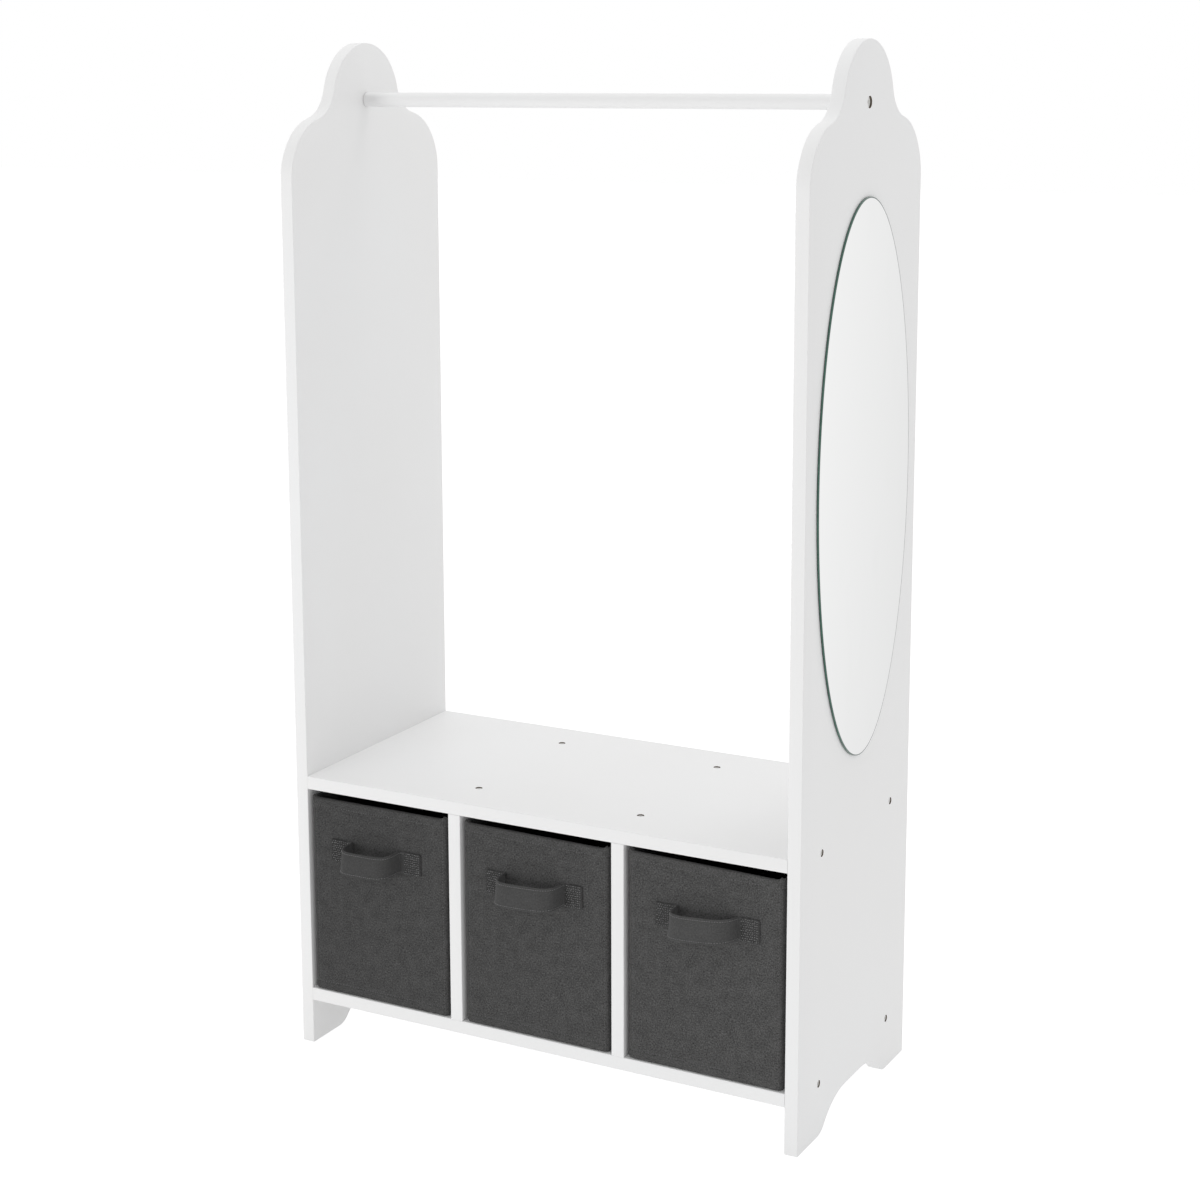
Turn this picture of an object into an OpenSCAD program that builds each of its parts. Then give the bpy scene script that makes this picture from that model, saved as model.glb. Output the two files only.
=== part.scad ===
// Dress-up storage unit: two shaped side panels carry a hanging rail and a bench
// over three bays, a cloth bin slides into each bay, and an oval mirror is bonded
// to the outside of the right panel.
// X is the width, -Y the front, +Z up. The origin is the middle of the footprint.

/* [Carcass] */
// Width over the outer faces of the two side panels
unit_w = 616; // [560:1:760]
// Depth of the side panels, the bench and the shelf
unit_d = 304; // [290:1:400]
// Height of the side panels at the top of the dome
unit_h = 1135; // [1060:1:1300]
// Thickness of every board
board_t = 15; // [12:0.5:19]
// Height of the bottom shelf's underside over the floor
shelf_lift = 52; // [40:1:90]
// Clear height of the three bays
bay_h = 238; // [190:1:260]

/* [Panel outline] */
// Radius of the dome at the top of a side panel
dome_r = 67.5; // [55:0.5:75]
// Radius of the two shoulders
shoulder_r = 67; // [50:0.5:75]
// Drop from the dome's centre to the shoulders' centres
shoulder_drop = 78.5; // [70:0.5:110]
// Radius of the hollow between the dome and a shoulder
hollow_r = 42.5; // [30:0.5:60]
// Length of the flat that a foot stands on
foot_len = 54; // [35:1:65]
// Radius of the foot's inner corner
foot_r = 25; // [15:0.5:30]
// Height of the arch between the feet
arch_h = 30; // [20:0.5:36]
// Radius of the arch's shoulders
arch_r = 85; // [60:1:95]

/* [Hanging rail] */
// Outer diameter of the tube
rail_d = 16; // [12:0.5:22]
// Wall of the tube
rail_wall = 1; // [0.6:0.1:1.5]
// Drop from the top of the dome to the rail's axis
rail_drop = 63; // [45:0.5:80]
// Gap between each end of the tube and its panel
rail_end_gap = 0.4; // [0.2:0.1:0.8]
// Length of the threaded plug in each end of the tube
plug_len = 28; // [22:1:40]
// Shank diameter of a rail bolt
rail_bolt_d = 6; // [4:0.5:6.5]
// Head diameter of a rail bolt
rail_bolt_head_d = 11.6; // [8:0.1:12.5]
// Head height of a rail bolt
rail_bolt_head_h = 3; // [2:0.1:4]
// Depth of each rail bolt's head below the face of its panel
rail_bolt_sink = 2; // [1:0.1:2.6]
// Length of a rail bolt under its head
rail_bolt_len = 32; // [24:1:36]
// Width of the six-sided key recess in a rail bolt, over its corners
rail_key_d = 4.6; // [3:0.1:6]

/* [Board screws and dowels] */
// Shank diameter of a board screw
screw_d = 5; // [3.5:0.1:5.5]
// Head diameter of a board screw
screw_head_d = 7; // [6.2:0.1:8]
// Head height of a board screw
screw_head_h = 2.8; // [2:0.1:3.5]
// Length of a board screw under its head
screw_len = 46; // [36:1:52]
// Depth of each head below the face of its board
screw_sink = 1.2; // [0.8:0.1:2.6]
// Width of the six-sided key recess in a board screw, over its corners
screw_key_d = 3.5; // [2.5:0.1:4.5]
// Depth of the key recess in a screw or bolt
key_depth = 1.7; // [1:0.1:1.9]
// Distance from each screw's axis to the front or back edge
screw_inset = 55; // [35:1:90]
// Diameter of a dowel
dowel_d = 8; // [5:0.5:8]
// Length of a dowel
dowel_len = 30; // [24:1:36]
// Part of a dowel that sits in the outer board
dowel_bite = 9; // [6:0.5:10]

/* [Mirror] */
// Width of the oval glass
mirror_w = 250; // [180:1:270]
// Height of the oval glass
mirror_h = 585; // [400:1:600]
// Height of the oval's centre over the floor
mirror_z = 685; // [630:1:690]
// Thickness of the glass
glass_t = 2; // [2:0.1:4]
// Thickness of the safety film on the back of the glass
film_t = 0.15; // [0.1:0.05:0.4]
// Thickness of the bonding tape
tape_t = 0.3; // [0.3:0.1:1]
// Width of a strip of bonding tape
tape_w = 25; // [15:1:40]
// Distance between the middles of the two long strips of tape
tape_pitch = 130; // [80:1:150]
// Share of the oval's chord that each strip of tape runs along
tape_share = 0.8; // [0.5:0.05:0.9]

/* [Cloth bins] */
// Gap between a bin and the boards at each side
bin_side_gap = 3.7; // [2:0.1:8]
// Gap over the rim of a bin
bin_top_gap = 9.5; // [3:0.5:20]
// Distance from the front of the bays to the front of a bin
bin_inset = 2; // [0:0.5:8]
// Distance from the back of the bays to the back of a bin
bin_back_gap = 16; // [4:1:60]
// Radius of a bin's upright corners
bin_corner_r = 6; // [5:0.5:12]
// Thickness of the outer cloth
cloth_t = 1.2; // [0.8:0.1:1.6]
// Thickness of the lining cloth
lining_t = 0.8; // [0.5:0.1:1.2]
// Thickness of the card boards in the walls
card_t = 2; // [1.5:0.1:3]
// Thickness of the lift-out board on the floor of a bin
base_t = 3; // [2:0.1:5]
// Gap round the lift-out board
base_gap = 1.5; // [1:0.1:4]
// Thickness of the folded hem round the rim
hem_t = 0.6; // [0.4:0.1:1]
// Depth of the hem round the rim
hem_h = 10; // [6:0.5:16]

/* [Handles] */
// Height of the strap
strap_w = 25; // [18:0.5:36]
// Thickness of the folded strap
strap_t = 2.2; // [1.6:0.1:3]
// Width of the strap's loop over its outer faces
loop_w = 74; // [60:1:100]
// Reach of the loop from the front of the bin
loop_reach = 32; // [24:0.5:45]
// Squareness of the loop's outline, where 2 is an ellipse
loop_power = 3.2; // [2:0.1:4]
// Length of each end that is sewn to the bin
patch_len = 24; // [16:0.5:36]
// Drop from the rim to the middle of the strap
strap_drop = 58.5; // [40:0.5:90]

/* [Hidden] */
$fn = 96;

white = [0.93, 0.93, 0.92];
zinc = [0.75, 0.76, 0.78];
charcoal = [0.29, 0.29, 0.29];

// Small gaps: round a screw or dowel in its hole and at both faces of a card, round a
// sunk head, under a face that slides, and between a card's end and its round corner.
// The last value is the length by which a cut passes the face that it opens.
fit = 0.05;
head_gap = 0.2;
slide_gap = 0.3;
card_gap = 1;
past = 1;

// Places of the boards
half_w = unit_w / 2;
half_d = unit_d / 2;
inner_w = unit_w - 2 * board_t;
bay_w = (inner_w - 2 * board_t) / 3;
bay_pitch = bay_w + board_t;
divider_x = bay_pitch / 2;
shelf_top = shelf_lift + board_t;
bench_under = shelf_top + bay_h;
bench_top_z = bench_under + board_t;
rail_z = unit_h - rail_drop;
rail_len = inner_w - 2 * rail_end_gap;
rail_bore = rail_d - 2 * rail_wall;
screw_y = half_d - screw_inset;

// Places of the arcs in a side panel's outline, as [depth, height]
dome_c = [0, unit_h - dome_r];
shoulder_c = [half_d - shoulder_r, dome_c[1] - shoulder_drop];
hollow_c = circle_meet(dome_c, dome_r + hollow_r, shoulder_c, shoulder_r + hollow_r);
foot_c = [half_d - foot_len, foot_r];
arch_dz = foot_r + arch_r - arch_h;
arch_c = [foot_c[0] - sqrt(pow(foot_r + arch_r, 2) - pow(arch_dz, 2)), arch_h - arch_r];
shoulder_to_hollow = heading(shoulder_c, hollow_c);
dome_to_hollow = heading(dome_c, hollow_c);
toward_foot = heading(arch_c, foot_c);

// The mirror on its film and tape
film_lift = tape_t;
glass_lift = film_lift + film_t;
mirror_proud = glass_lift + glass_t;

// Places and sizes of a bin, in its bay. The cards and the lining lie the given
// distances inside its outer face. The cloth walls end under the hem's fold.
bin_w = bay_w - 2 * bin_side_gap;
bin_front = -half_d + bin_inset;
bin_back = half_d - bin_back_gap;
bin_z = shelf_top + slide_gap;
card_in = cloth_t + fit;
lining_in = card_in + card_t + fit;
wall_t = lining_in + lining_t;
floor_t = cloth_t + lining_t;
rim_z = bench_under - bin_top_gap;
cloth_top = rim_z - hem_t;
loop_front = bin_front - loop_reach;

// The mirror stands proud at +X and the handles at -Y, so the model is moved by
// half of each to keep the origin in the middle of the footprint.
shift_x = -mirror_proud / 2;
shift_y = max(0, -half_d - loop_front) / 2;

// The point, on the side away from the middle, where two circles meet.
function circle_meet(a, ra, b, rb) =
    let (
        gap = norm(b - a),
        along = (gap * gap + ra * ra - rb * rb) / (2 * gap),
        off = sqrt(ra * ra - along * along),
        dir = (b - a) / gap
    )
    a + along * dir + off * [-dir[1], dir[0]];

// Angle of the line from one point to another.
function heading(a, b) = atan2(b[1] - a[1], b[0] - a[0]);

// Points of an arc, both ends included, a few degrees apart.
function arc(c, r, from, to, step = 3) =
    let (count = ceil(abs(to - from) / step))
    [for (i = [0:count]) let (a = from + (to - from) * i / count) c + r * [cos(a), sin(a)]];

// Points of an oval of the given width and height.
function oval(w, h, count = 120) =
    [for (i = [0:count - 1]) [w / 2 * cos(360 * i / count), h / 2 * sin(360 * i / count)]];

// Signed power, for the squared ellipse that the strap follows.
function bulge(v, p) = sign(v) * pow(abs(v), p);

module placed() {
    translate([shift_x, shift_y, 0]) children();
}

// Both sides of the middle plane X = 0.
module both_sides() {
    children();
    mirror([1, 0, 0]) children();
}

// Front and back, at the same distance from Y = 0.
module front_and_back() {
    children();
    mirror([0, 1, 0]) children();
}

// Lays a drawing of [depth, height] in the plane X = x and gives it a thickness.
module upright(x, thickness) {
    translate([x, 0, 0]) rotate([90, 0, 90]) linear_extrude(thickness) children();
}

module block(x0, x1, y0, y1, z0, z1) {
    translate([x0, y0, z0]) cube([x1 - x0, y1 - y0, z1 - z0]);
}

// A flat-headed screw with a key recess. Its head's outer face is at z = 0, tip up.
module headed_screw(head_d, head_h, shank_d, len, key_d) {
    difference() {
        union() {
            cylinder(d = head_d, h = head_h);
            cylinder(d = shank_d, h = head_h + len);
        }
        translate([0, 0, -past]) cylinder(d = key_d, h = past + key_depth, $fn = 6);
    }
}

// The stepped hole for such a screw, out past the face that its head is sunk in.
module sunk_hole(head_d, head_h, shank_d, len, sink) {
    translate([0, 0, -sink - past])
        cylinder(d = head_d + 2 * head_gap, h = sink + past + head_h);
    cylinder(d = shank_d + 2 * fit, h = head_h + len + past);
}

module board_screw() {
    headed_screw(screw_head_d, screw_head_h, screw_d, screw_len, screw_key_d);
}

module screw_hole() {
    sunk_hole(screw_head_d, screw_head_h, screw_d, screw_len, screw_sink);
}

module rail_bolt() {
    headed_screw(rail_bolt_head_d, rail_bolt_head_h, rail_bolt_d, rail_bolt_len, rail_key_d);
}

module rail_bolt_hole() {
    sunk_hole(rail_bolt_head_d, rail_bolt_head_h, rail_bolt_d, rail_bolt_len, rail_bolt_sink);
}

module dowel(extra = 0) {
    translate([0, 0, -extra]) cylinder(d = dowel_d + 2 * extra, h = dowel_len + 2 * extra);
}

// Where the screws and dowels of the right panel go: heads on the outer face.
module at_panel_screws() {
    for (z = [shelf_lift + board_t / 2, bench_under + board_t / 2])
        front_and_back()
            translate([half_w - screw_sink, screw_y, z]) rotate([0, -90, 0]) children();
}

module at_panel_dowels() {
    for (z = [shelf_lift + board_t / 2, bench_under + board_t / 2])
        translate([half_w - board_t + dowel_bite, 0, z]) rotate([0, -90, 0]) children();
}

// Screws and dowels through the bench into the dividers.
module at_bench_screws() {
    both_sides()
        front_and_back()
            translate([divider_x, screw_y, bench_top_z - screw_sink]) rotate([180, 0, 0]) children();
}

module at_bench_dowels() {
    both_sides()
        translate([divider_x, 0, bench_under + dowel_bite]) rotate([180, 0, 0]) children();
}

// The same through the bottom shelf, from below.
module at_shelf_screws() {
    both_sides()
        front_and_back()
            translate([divider_x, screw_y, shelf_lift + screw_sink]) children();
}

module at_shelf_dowels() {
    both_sides()
        translate([divider_x, 0, shelf_top - dowel_bite]) children();
}

module at_rail_bolt() {
    translate([half_w - rail_bolt_sink, 0, rail_z]) rotate([0, -90, 0]) children();
}

// --- Boards ---

// Outline of a side panel: a dome between two shoulders, joined by hollows, and an
// arch between two feet. Each arc is tangent to the next, so it turns about the
// line between two centres. The half from the arch to the dome is drawn and then
// mirrored.
half_outline = concat(
    arc(arch_c, arch_r, 90, toward_foot),
    arc(foot_c, foot_r, toward_foot + 180, 270),
    [[half_d, 0]],
    arc(shoulder_c, shoulder_r, 0, shoulder_to_hollow),
    arc(hollow_c, hollow_r, shoulder_to_hollow + 180, dome_to_hollow + 180),
    arc(dome_c, dome_r, dome_to_hollow, 90)
);

module panel_outline() {
    count = len(half_outline);
    polygon(concat(
        half_outline,
        [for (i = [2:count]) [-half_outline[count - i][0], half_outline[count - i][1]]]
    ));
}

module side_panel() {
    difference() {
        upright(half_w - board_t, board_t) panel_outline();
        at_panel_screws() screw_hole();
        at_panel_dowels() dowel(fit);
        at_rail_bolt() rail_bolt_hole();
    }
}

module right_side_panel() {
    color(white) placed() side_panel();
}

module left_side_panel() {
    color(white) placed() mirror([1, 0, 0]) side_panel();
}

module bench_top() {
    color(white) placed() difference() {
        block(-inner_w / 2, inner_w / 2, -half_d, half_d, bench_under, bench_top_z);
        both_sides() at_panel_screws() screw_hole();
        both_sides() at_panel_dowels() dowel(fit);
        at_bench_screws() screw_hole();
        at_bench_dowels() dowel(fit);
    }
}

module bottom_shelf() {
    color(white) placed() difference() {
        block(-inner_w / 2, inner_w / 2, -half_d, half_d, shelf_lift, shelf_top);
        both_sides() at_panel_screws() screw_hole();
        both_sides() at_panel_dowels() dowel(fit);
        at_shelf_screws() screw_hole();
        at_shelf_dowels() dowel(fit);
    }
}

module divider() {
    difference() {
        block(divider_x - board_t / 2, divider_x + board_t / 2, -half_d, half_d, shelf_top, bench_under);
        at_bench_screws() screw_hole();
        at_bench_dowels() dowel(fit);
        at_shelf_screws() screw_hole();
        at_shelf_dowels() dowel(fit);
    }
}

module right_divider() {
    color(white) placed() divider();
}

module left_divider() {
    color(white) placed() mirror([1, 0, 0]) divider();
}

// --- Hanging rail ---

module rail_bolts() {
    color(zinc) placed() both_sides() at_rail_bolt() rail_bolt();
}

module rail_tube() {
    color(white) placed() translate([-rail_len / 2, 0, rail_z]) rotate([0, 90, 0]) difference() {
        cylinder(d = rail_d, h = rail_len);
        translate([0, 0, -past]) cylinder(d = rail_bore, h = rail_len + 2 * past);
    }
}

module rail_plugs() {
    color("gainsboro") placed() both_sides() difference() {
        translate([rail_len / 2 - plug_len, 0, rail_z]) rotate([0, 90, 0])
            cylinder(d = rail_bore - 2 * fit, h = plug_len);
        at_rail_bolt() rail_bolt_hole();
    }
}

// --- Screws and dowels ---

module right_panel_screws() {
    color(zinc) placed() at_panel_screws() board_screw();
}

module left_panel_screws() {
    color(zinc) placed() mirror([1, 0, 0]) at_panel_screws() board_screw();
}

module bench_top_screws() {
    color(zinc) placed() at_bench_screws() board_screw();
}

module bottom_shelf_screws() {
    color(zinc) placed() at_shelf_screws() board_screw();
}

module right_panel_dowels() {
    color("burlywood") placed() at_panel_dowels() dowel();
}

module left_panel_dowels() {
    color("burlywood") placed() mirror([1, 0, 0]) at_panel_dowels() dowel();
}

module divider_dowels() {
    color("burlywood") placed() {
        at_bench_dowels() dowel();
        at_shelf_dowels() dowel();
    }
}

// --- Mirror ---

module oval_sheet(lift, thickness) {
    translate([0, 0, mirror_z]) upright(half_w + lift, thickness) polygon(oval(mirror_w, mirror_h));
}

module mirror_glass() {
    color([0.8, 0.85, 0.85]) placed() oval_sheet(glass_lift, glass_t);
}

module mirror_film() {
    color("dimgray") placed() oval_sheet(film_lift, film_t);
}

// Two upright strips of tape, each a share of the oval's height at its place.
module mirror_tape() {
    chord = mirror_h * sqrt(1 - pow((tape_pitch + tape_w) / mirror_w, 2));
    color("white") placed() front_and_back()
        block(half_w, half_w + tape_t, (tape_pitch - tape_w) / 2, (tape_pitch + tape_w) / 2,
              mirror_z - chord * tape_share / 2, mirror_z + chord * tape_share / 2);
}

// --- Cloth bins, each drawn in the middle bay ---

// Moves a bin to its bay: -1 left, 0 middle, 1 right.
module in_bay(bay) {
    placed() translate([bay * bay_pitch, 0, 0]) children();
}

// Plan of a bin that lies the given distance inside its outer face.
module bin_plan(inside) {
    r = max(bin_corner_r - inside, 0.5);
    x = bin_w / 2 - inside;
    y0 = bin_front + inside;
    y1 = bin_back - inside;
    translate([-x + r, y0]) square([2 * (x - r), y1 - y0]);
    translate([-x, y0 + r]) square([2 * x, y1 - y0 - 2 * r]);
    for (cx = [-x + r, x - r], cy = [y0 + r, y1 - r])
        translate([cx, cy]) circle(r);
}

module bin_slab(inside, z0, z1) {
    translate([0, 0, z0]) linear_extrude(z1 - z0) bin_plan(inside);
}

module bin_ring(outer, inner, z0, z1) {
    difference() {
        bin_slab(outer, z0, z1);
        bin_slab(inner, z0 - past, z1 + past);
    }
}

module bin_cover() {
    color(charcoal) bin_ring(0, cloth_t, bin_z, cloth_top);
}

module bin_bottom() {
    color(charcoal) bin_slab(cloth_t, bin_z, bin_z + cloth_t);
}

module bin_lining() {
    color(charcoal) difference() {
        bin_slab(lining_in, bin_z + cloth_t, cloth_top);
        bin_slab(wall_t, bin_z + floor_t, cloth_top + past);
    }
}

// Four cards between the cover and the lining, short of the round corners.
module bin_cards() {
    x = bin_w / 2;
    x1 = x - bin_corner_r - card_gap;
    y0 = bin_front + bin_corner_r + card_gap;
    y1 = bin_back - bin_corner_r - card_gap;
    color("tan") {
        both_sides() block(x - card_in - card_t, x - card_in, y0, y1, bin_z + cloth_t, cloth_top);
        for (y = [bin_front + card_in, bin_back - card_in - card_t])
            block(-x1, x1, y, y + card_t, bin_z + cloth_t, cloth_top);
    }
}

// The hem folds over the tops of the walls and runs down both faces.
module bin_hem() {
    color(charcoal) difference() {
        bin_slab(-hem_t, rim_z - hem_h, rim_z);
        bin_slab(wall_t + hem_t, rim_z - hem_h - past, rim_z + past);
        bin_ring(0, wall_t, rim_z - hem_h - past, cloth_top);
    }
}

// The stiff board that lies loose on the floor of a bin and lifts out.
module bin_base() {
    z = bin_z + floor_t + slide_gap;
    color("dimgray") bin_slab(wall_t + base_gap, z, z + base_t);
}

// Half of a squared ellipse in plan, in front of the bin. The strap's loop is the
// band between two of them.
module loop_plan(w, reach, count = 48) {
    polygon([for (i = [0:count])
        let (a = 180 * i / count)
        [w / 2 * bulge(cos(a), 2 / loop_power), -reach * bulge(sin(a), 2 / loop_power)]]);
}

module bin_handle() {
    color(charcoal) translate([0, bin_front, rim_z - strap_drop - strap_w / 2]) {
        linear_extrude(strap_w) difference() {
            loop_plan(loop_w, loop_reach);
            loop_plan(loop_w - 2 * strap_t, loop_reach - strap_t);
        }
        both_sides()
            block(loop_w / 2 - strap_t, loop_w / 2 + patch_len, -strap_t, 0, 0, strap_w);
    }
}

module left_bin_cover() { in_bay(-1) bin_cover(); }
module left_bin_bottom() { in_bay(-1) bin_bottom(); }
module left_bin_lining() { in_bay(-1) bin_lining(); }
module left_bin_cards() { in_bay(-1) bin_cards(); }
module left_bin_hem() { in_bay(-1) bin_hem(); }
module left_bin_handle() { in_bay(-1) bin_handle(); }
module left_bin_base() { in_bay(-1) bin_base(); }

module middle_bin_cover() { in_bay(0) bin_cover(); }
module middle_bin_bottom() { in_bay(0) bin_bottom(); }
module middle_bin_lining() { in_bay(0) bin_lining(); }
module middle_bin_cards() { in_bay(0) bin_cards(); }
module middle_bin_hem() { in_bay(0) bin_hem(); }
module middle_bin_handle() { in_bay(0) bin_handle(); }
module middle_bin_base() { in_bay(0) bin_base(); }

module right_bin_cover() { in_bay(1) bin_cover(); }
module right_bin_bottom() { in_bay(1) bin_bottom(); }
module right_bin_lining() { in_bay(1) bin_lining(); }
module right_bin_cards() { in_bay(1) bin_cards(); }
module right_bin_hem() { in_bay(1) bin_hem(); }
module right_bin_handle() { in_bay(1) bin_handle(); }
module right_bin_base() { in_bay(1) bin_base(); }

left_side_panel();
right_side_panel();
bench_top();
bottom_shelf();
left_divider();
right_divider();
rail_tube();
rail_plugs();
rail_bolts();
left_panel_screws();
right_panel_screws();
bench_top_screws();
bottom_shelf_screws();
left_panel_dowels();
right_panel_dowels();
divider_dowels();
mirror_glass();
mirror_film();
mirror_tape();
left_bin_cover();
left_bin_bottom();
left_bin_lining();
left_bin_cards();
left_bin_hem();
left_bin_handle();
left_bin_base();
middle_bin_cover();
middle_bin_bottom();
middle_bin_lining();
middle_bin_cards();
middle_bin_hem();
middle_bin_handle();
middle_bin_base();
right_bin_cover();
right_bin_bottom();
right_bin_lining();
right_bin_cards();
right_bin_hem();
right_bin_handle();
right_bin_base();
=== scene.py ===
# %% [markdown]
# # A dress-up unit: painted boards, a clothes rail, three cloth bins and a mirror
#
# The unit is a child's open wardrobe. Two shaped side panels carry a rail and a bench, three cloth
# bins slide into the bays below, and an oval mirror is bonded to the outside of the right panel.
#
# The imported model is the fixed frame. Every piece made here takes its place from a node of that
# frame and rides on the node's body, and all but the stitches stand for their node. All sizes are in
# metres.

import math

import bmesh
import bpy
import numpy as np
from mathutils import Matrix, Vector
from mathutils.geometry import delaunay_2d_cdt


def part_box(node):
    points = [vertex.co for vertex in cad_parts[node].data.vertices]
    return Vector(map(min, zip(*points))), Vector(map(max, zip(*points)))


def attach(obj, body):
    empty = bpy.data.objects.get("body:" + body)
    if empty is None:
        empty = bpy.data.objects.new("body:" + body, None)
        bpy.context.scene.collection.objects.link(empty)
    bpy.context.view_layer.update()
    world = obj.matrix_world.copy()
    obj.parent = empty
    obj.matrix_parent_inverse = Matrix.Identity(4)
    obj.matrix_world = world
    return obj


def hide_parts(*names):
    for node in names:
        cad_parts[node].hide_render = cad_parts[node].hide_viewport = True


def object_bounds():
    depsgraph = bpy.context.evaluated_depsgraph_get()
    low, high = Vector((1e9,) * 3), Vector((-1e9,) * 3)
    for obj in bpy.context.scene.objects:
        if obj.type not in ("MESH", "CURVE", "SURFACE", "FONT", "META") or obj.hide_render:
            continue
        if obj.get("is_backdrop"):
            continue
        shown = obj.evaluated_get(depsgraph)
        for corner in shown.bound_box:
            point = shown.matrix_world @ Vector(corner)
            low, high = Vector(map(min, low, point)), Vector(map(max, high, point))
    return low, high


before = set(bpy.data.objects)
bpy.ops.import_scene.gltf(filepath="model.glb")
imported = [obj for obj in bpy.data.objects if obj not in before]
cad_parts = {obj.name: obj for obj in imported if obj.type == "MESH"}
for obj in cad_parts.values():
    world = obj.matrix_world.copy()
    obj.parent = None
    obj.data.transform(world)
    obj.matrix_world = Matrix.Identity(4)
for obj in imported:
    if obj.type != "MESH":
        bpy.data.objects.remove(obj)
cad_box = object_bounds()
MM = 0.001
print("CAD box:", [[round(v, 4) for v in corner] for corner in cad_box])

# %% [markdown]
# ## The camera
#
# A product photograph of a tall unit is taken from a few metres with a longish lens, so that the
# uprights stay nearly parallel. The camera below was fitted to the edges of the boards, the tops of
# the domes and the feet, and agrees with them to about four pixels. It is given as an orbit (how far
# round the unit, how high, how far away), because that is how one thinks of a view of an object. The
# shift stands for the cropping of the picture. It was held at a tenth in the fit, because every other
# view keeps it too.

# %% Camera
ORBIT = {"round": math.radians(30.421), "up": math.radians(10.589), "roll": math.radians(-0.692)}
CAMERA_DISTANCE = 2.7238
CAMERA_TARGET = Vector((-0.1522, 0.015, 0.6476))
SENSOR = 36.0
FOCAL_SHARE = 2409.3 / 1200
CAMERA_SHIFT = (0.1, -0.1)


def orbit_camera():
    """A camera on a sphere round the target: its back points along the angles' unit vector, and it
    is turned about that line by the roll."""
    up, turn = ORBIT["up"], ORBIT["round"]
    back = Vector((math.sin(turn) * math.cos(up), -math.cos(turn) * math.cos(up), math.sin(up)))
    data = bpy.data.cameras.new("camera")
    data.sensor_width = SENSOR
    data.lens = FOCAL_SHARE * SENSOR
    data.shift_x, data.shift_y = CAMERA_SHIFT
    data.clip_end = 60
    camera = bpy.data.objects.new("camera", data)
    bpy.context.scene.collection.objects.link(camera)
    camera.location = CAMERA_TARGET + back * CAMERA_DISTANCE
    facing = back.to_track_quat("Z", "Y")
    camera.rotation_mode = "QUATERNION"
    camera.rotation_quaternion = facing @ Matrix.Rotation(ORBIT["roll"], 3, "Z").to_quaternion()
    bpy.context.scene.camera = camera
    return camera


print("camera at", [round(v, 3) for v in orbit_camera().location])

# %% [markdown]
# ## Shader maths
#
# A procedural material is a small formula over the surface. Written with nodes it is hard to read,
# so a wire wraps a socket and takes Python's own operators: adding two wires adds a Math node, and
# the formula reads as a formula. Every other node comes from one method, which sets what the node
# is before it joins its sockets.


# %% Wires
class Wire:
    """A value on its way through a material."""

    def __init__(self, finish, socket):
        self.finish = finish
        self.socket = socket

    def math(self, operation, *values):
        """A Math node on the values, in the order given."""
        return self.finish.node("ShaderNodeMath", {"operation": operation}, dict(enumerate(values)))

    def __add__(self, other):
        return self.math("ADD", self, other)

    def __sub__(self, other):
        return self.math("SUBTRACT", self, other)

    def __rsub__(self, other):
        return self.math("SUBTRACT", other, self)

    def __mul__(self, other):
        return self.math("MULTIPLY", self, other)

    def __abs__(self):
        return self.math("ABSOLUTE", self)

    __radd__ = __add__
    __rmul__ = __mul__

    def wave(self):
        """The sine of the wire."""
        return self.math("SINE", self)

    def within(self, low, high):
        """The wire held between two values and spread over 0 to 1."""
        ends = {"Value": self, "From Min": low, "From Max": high}
        return self.finish.node("ShaderNodeMapRange", {"clamp": True}, ends)


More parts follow.
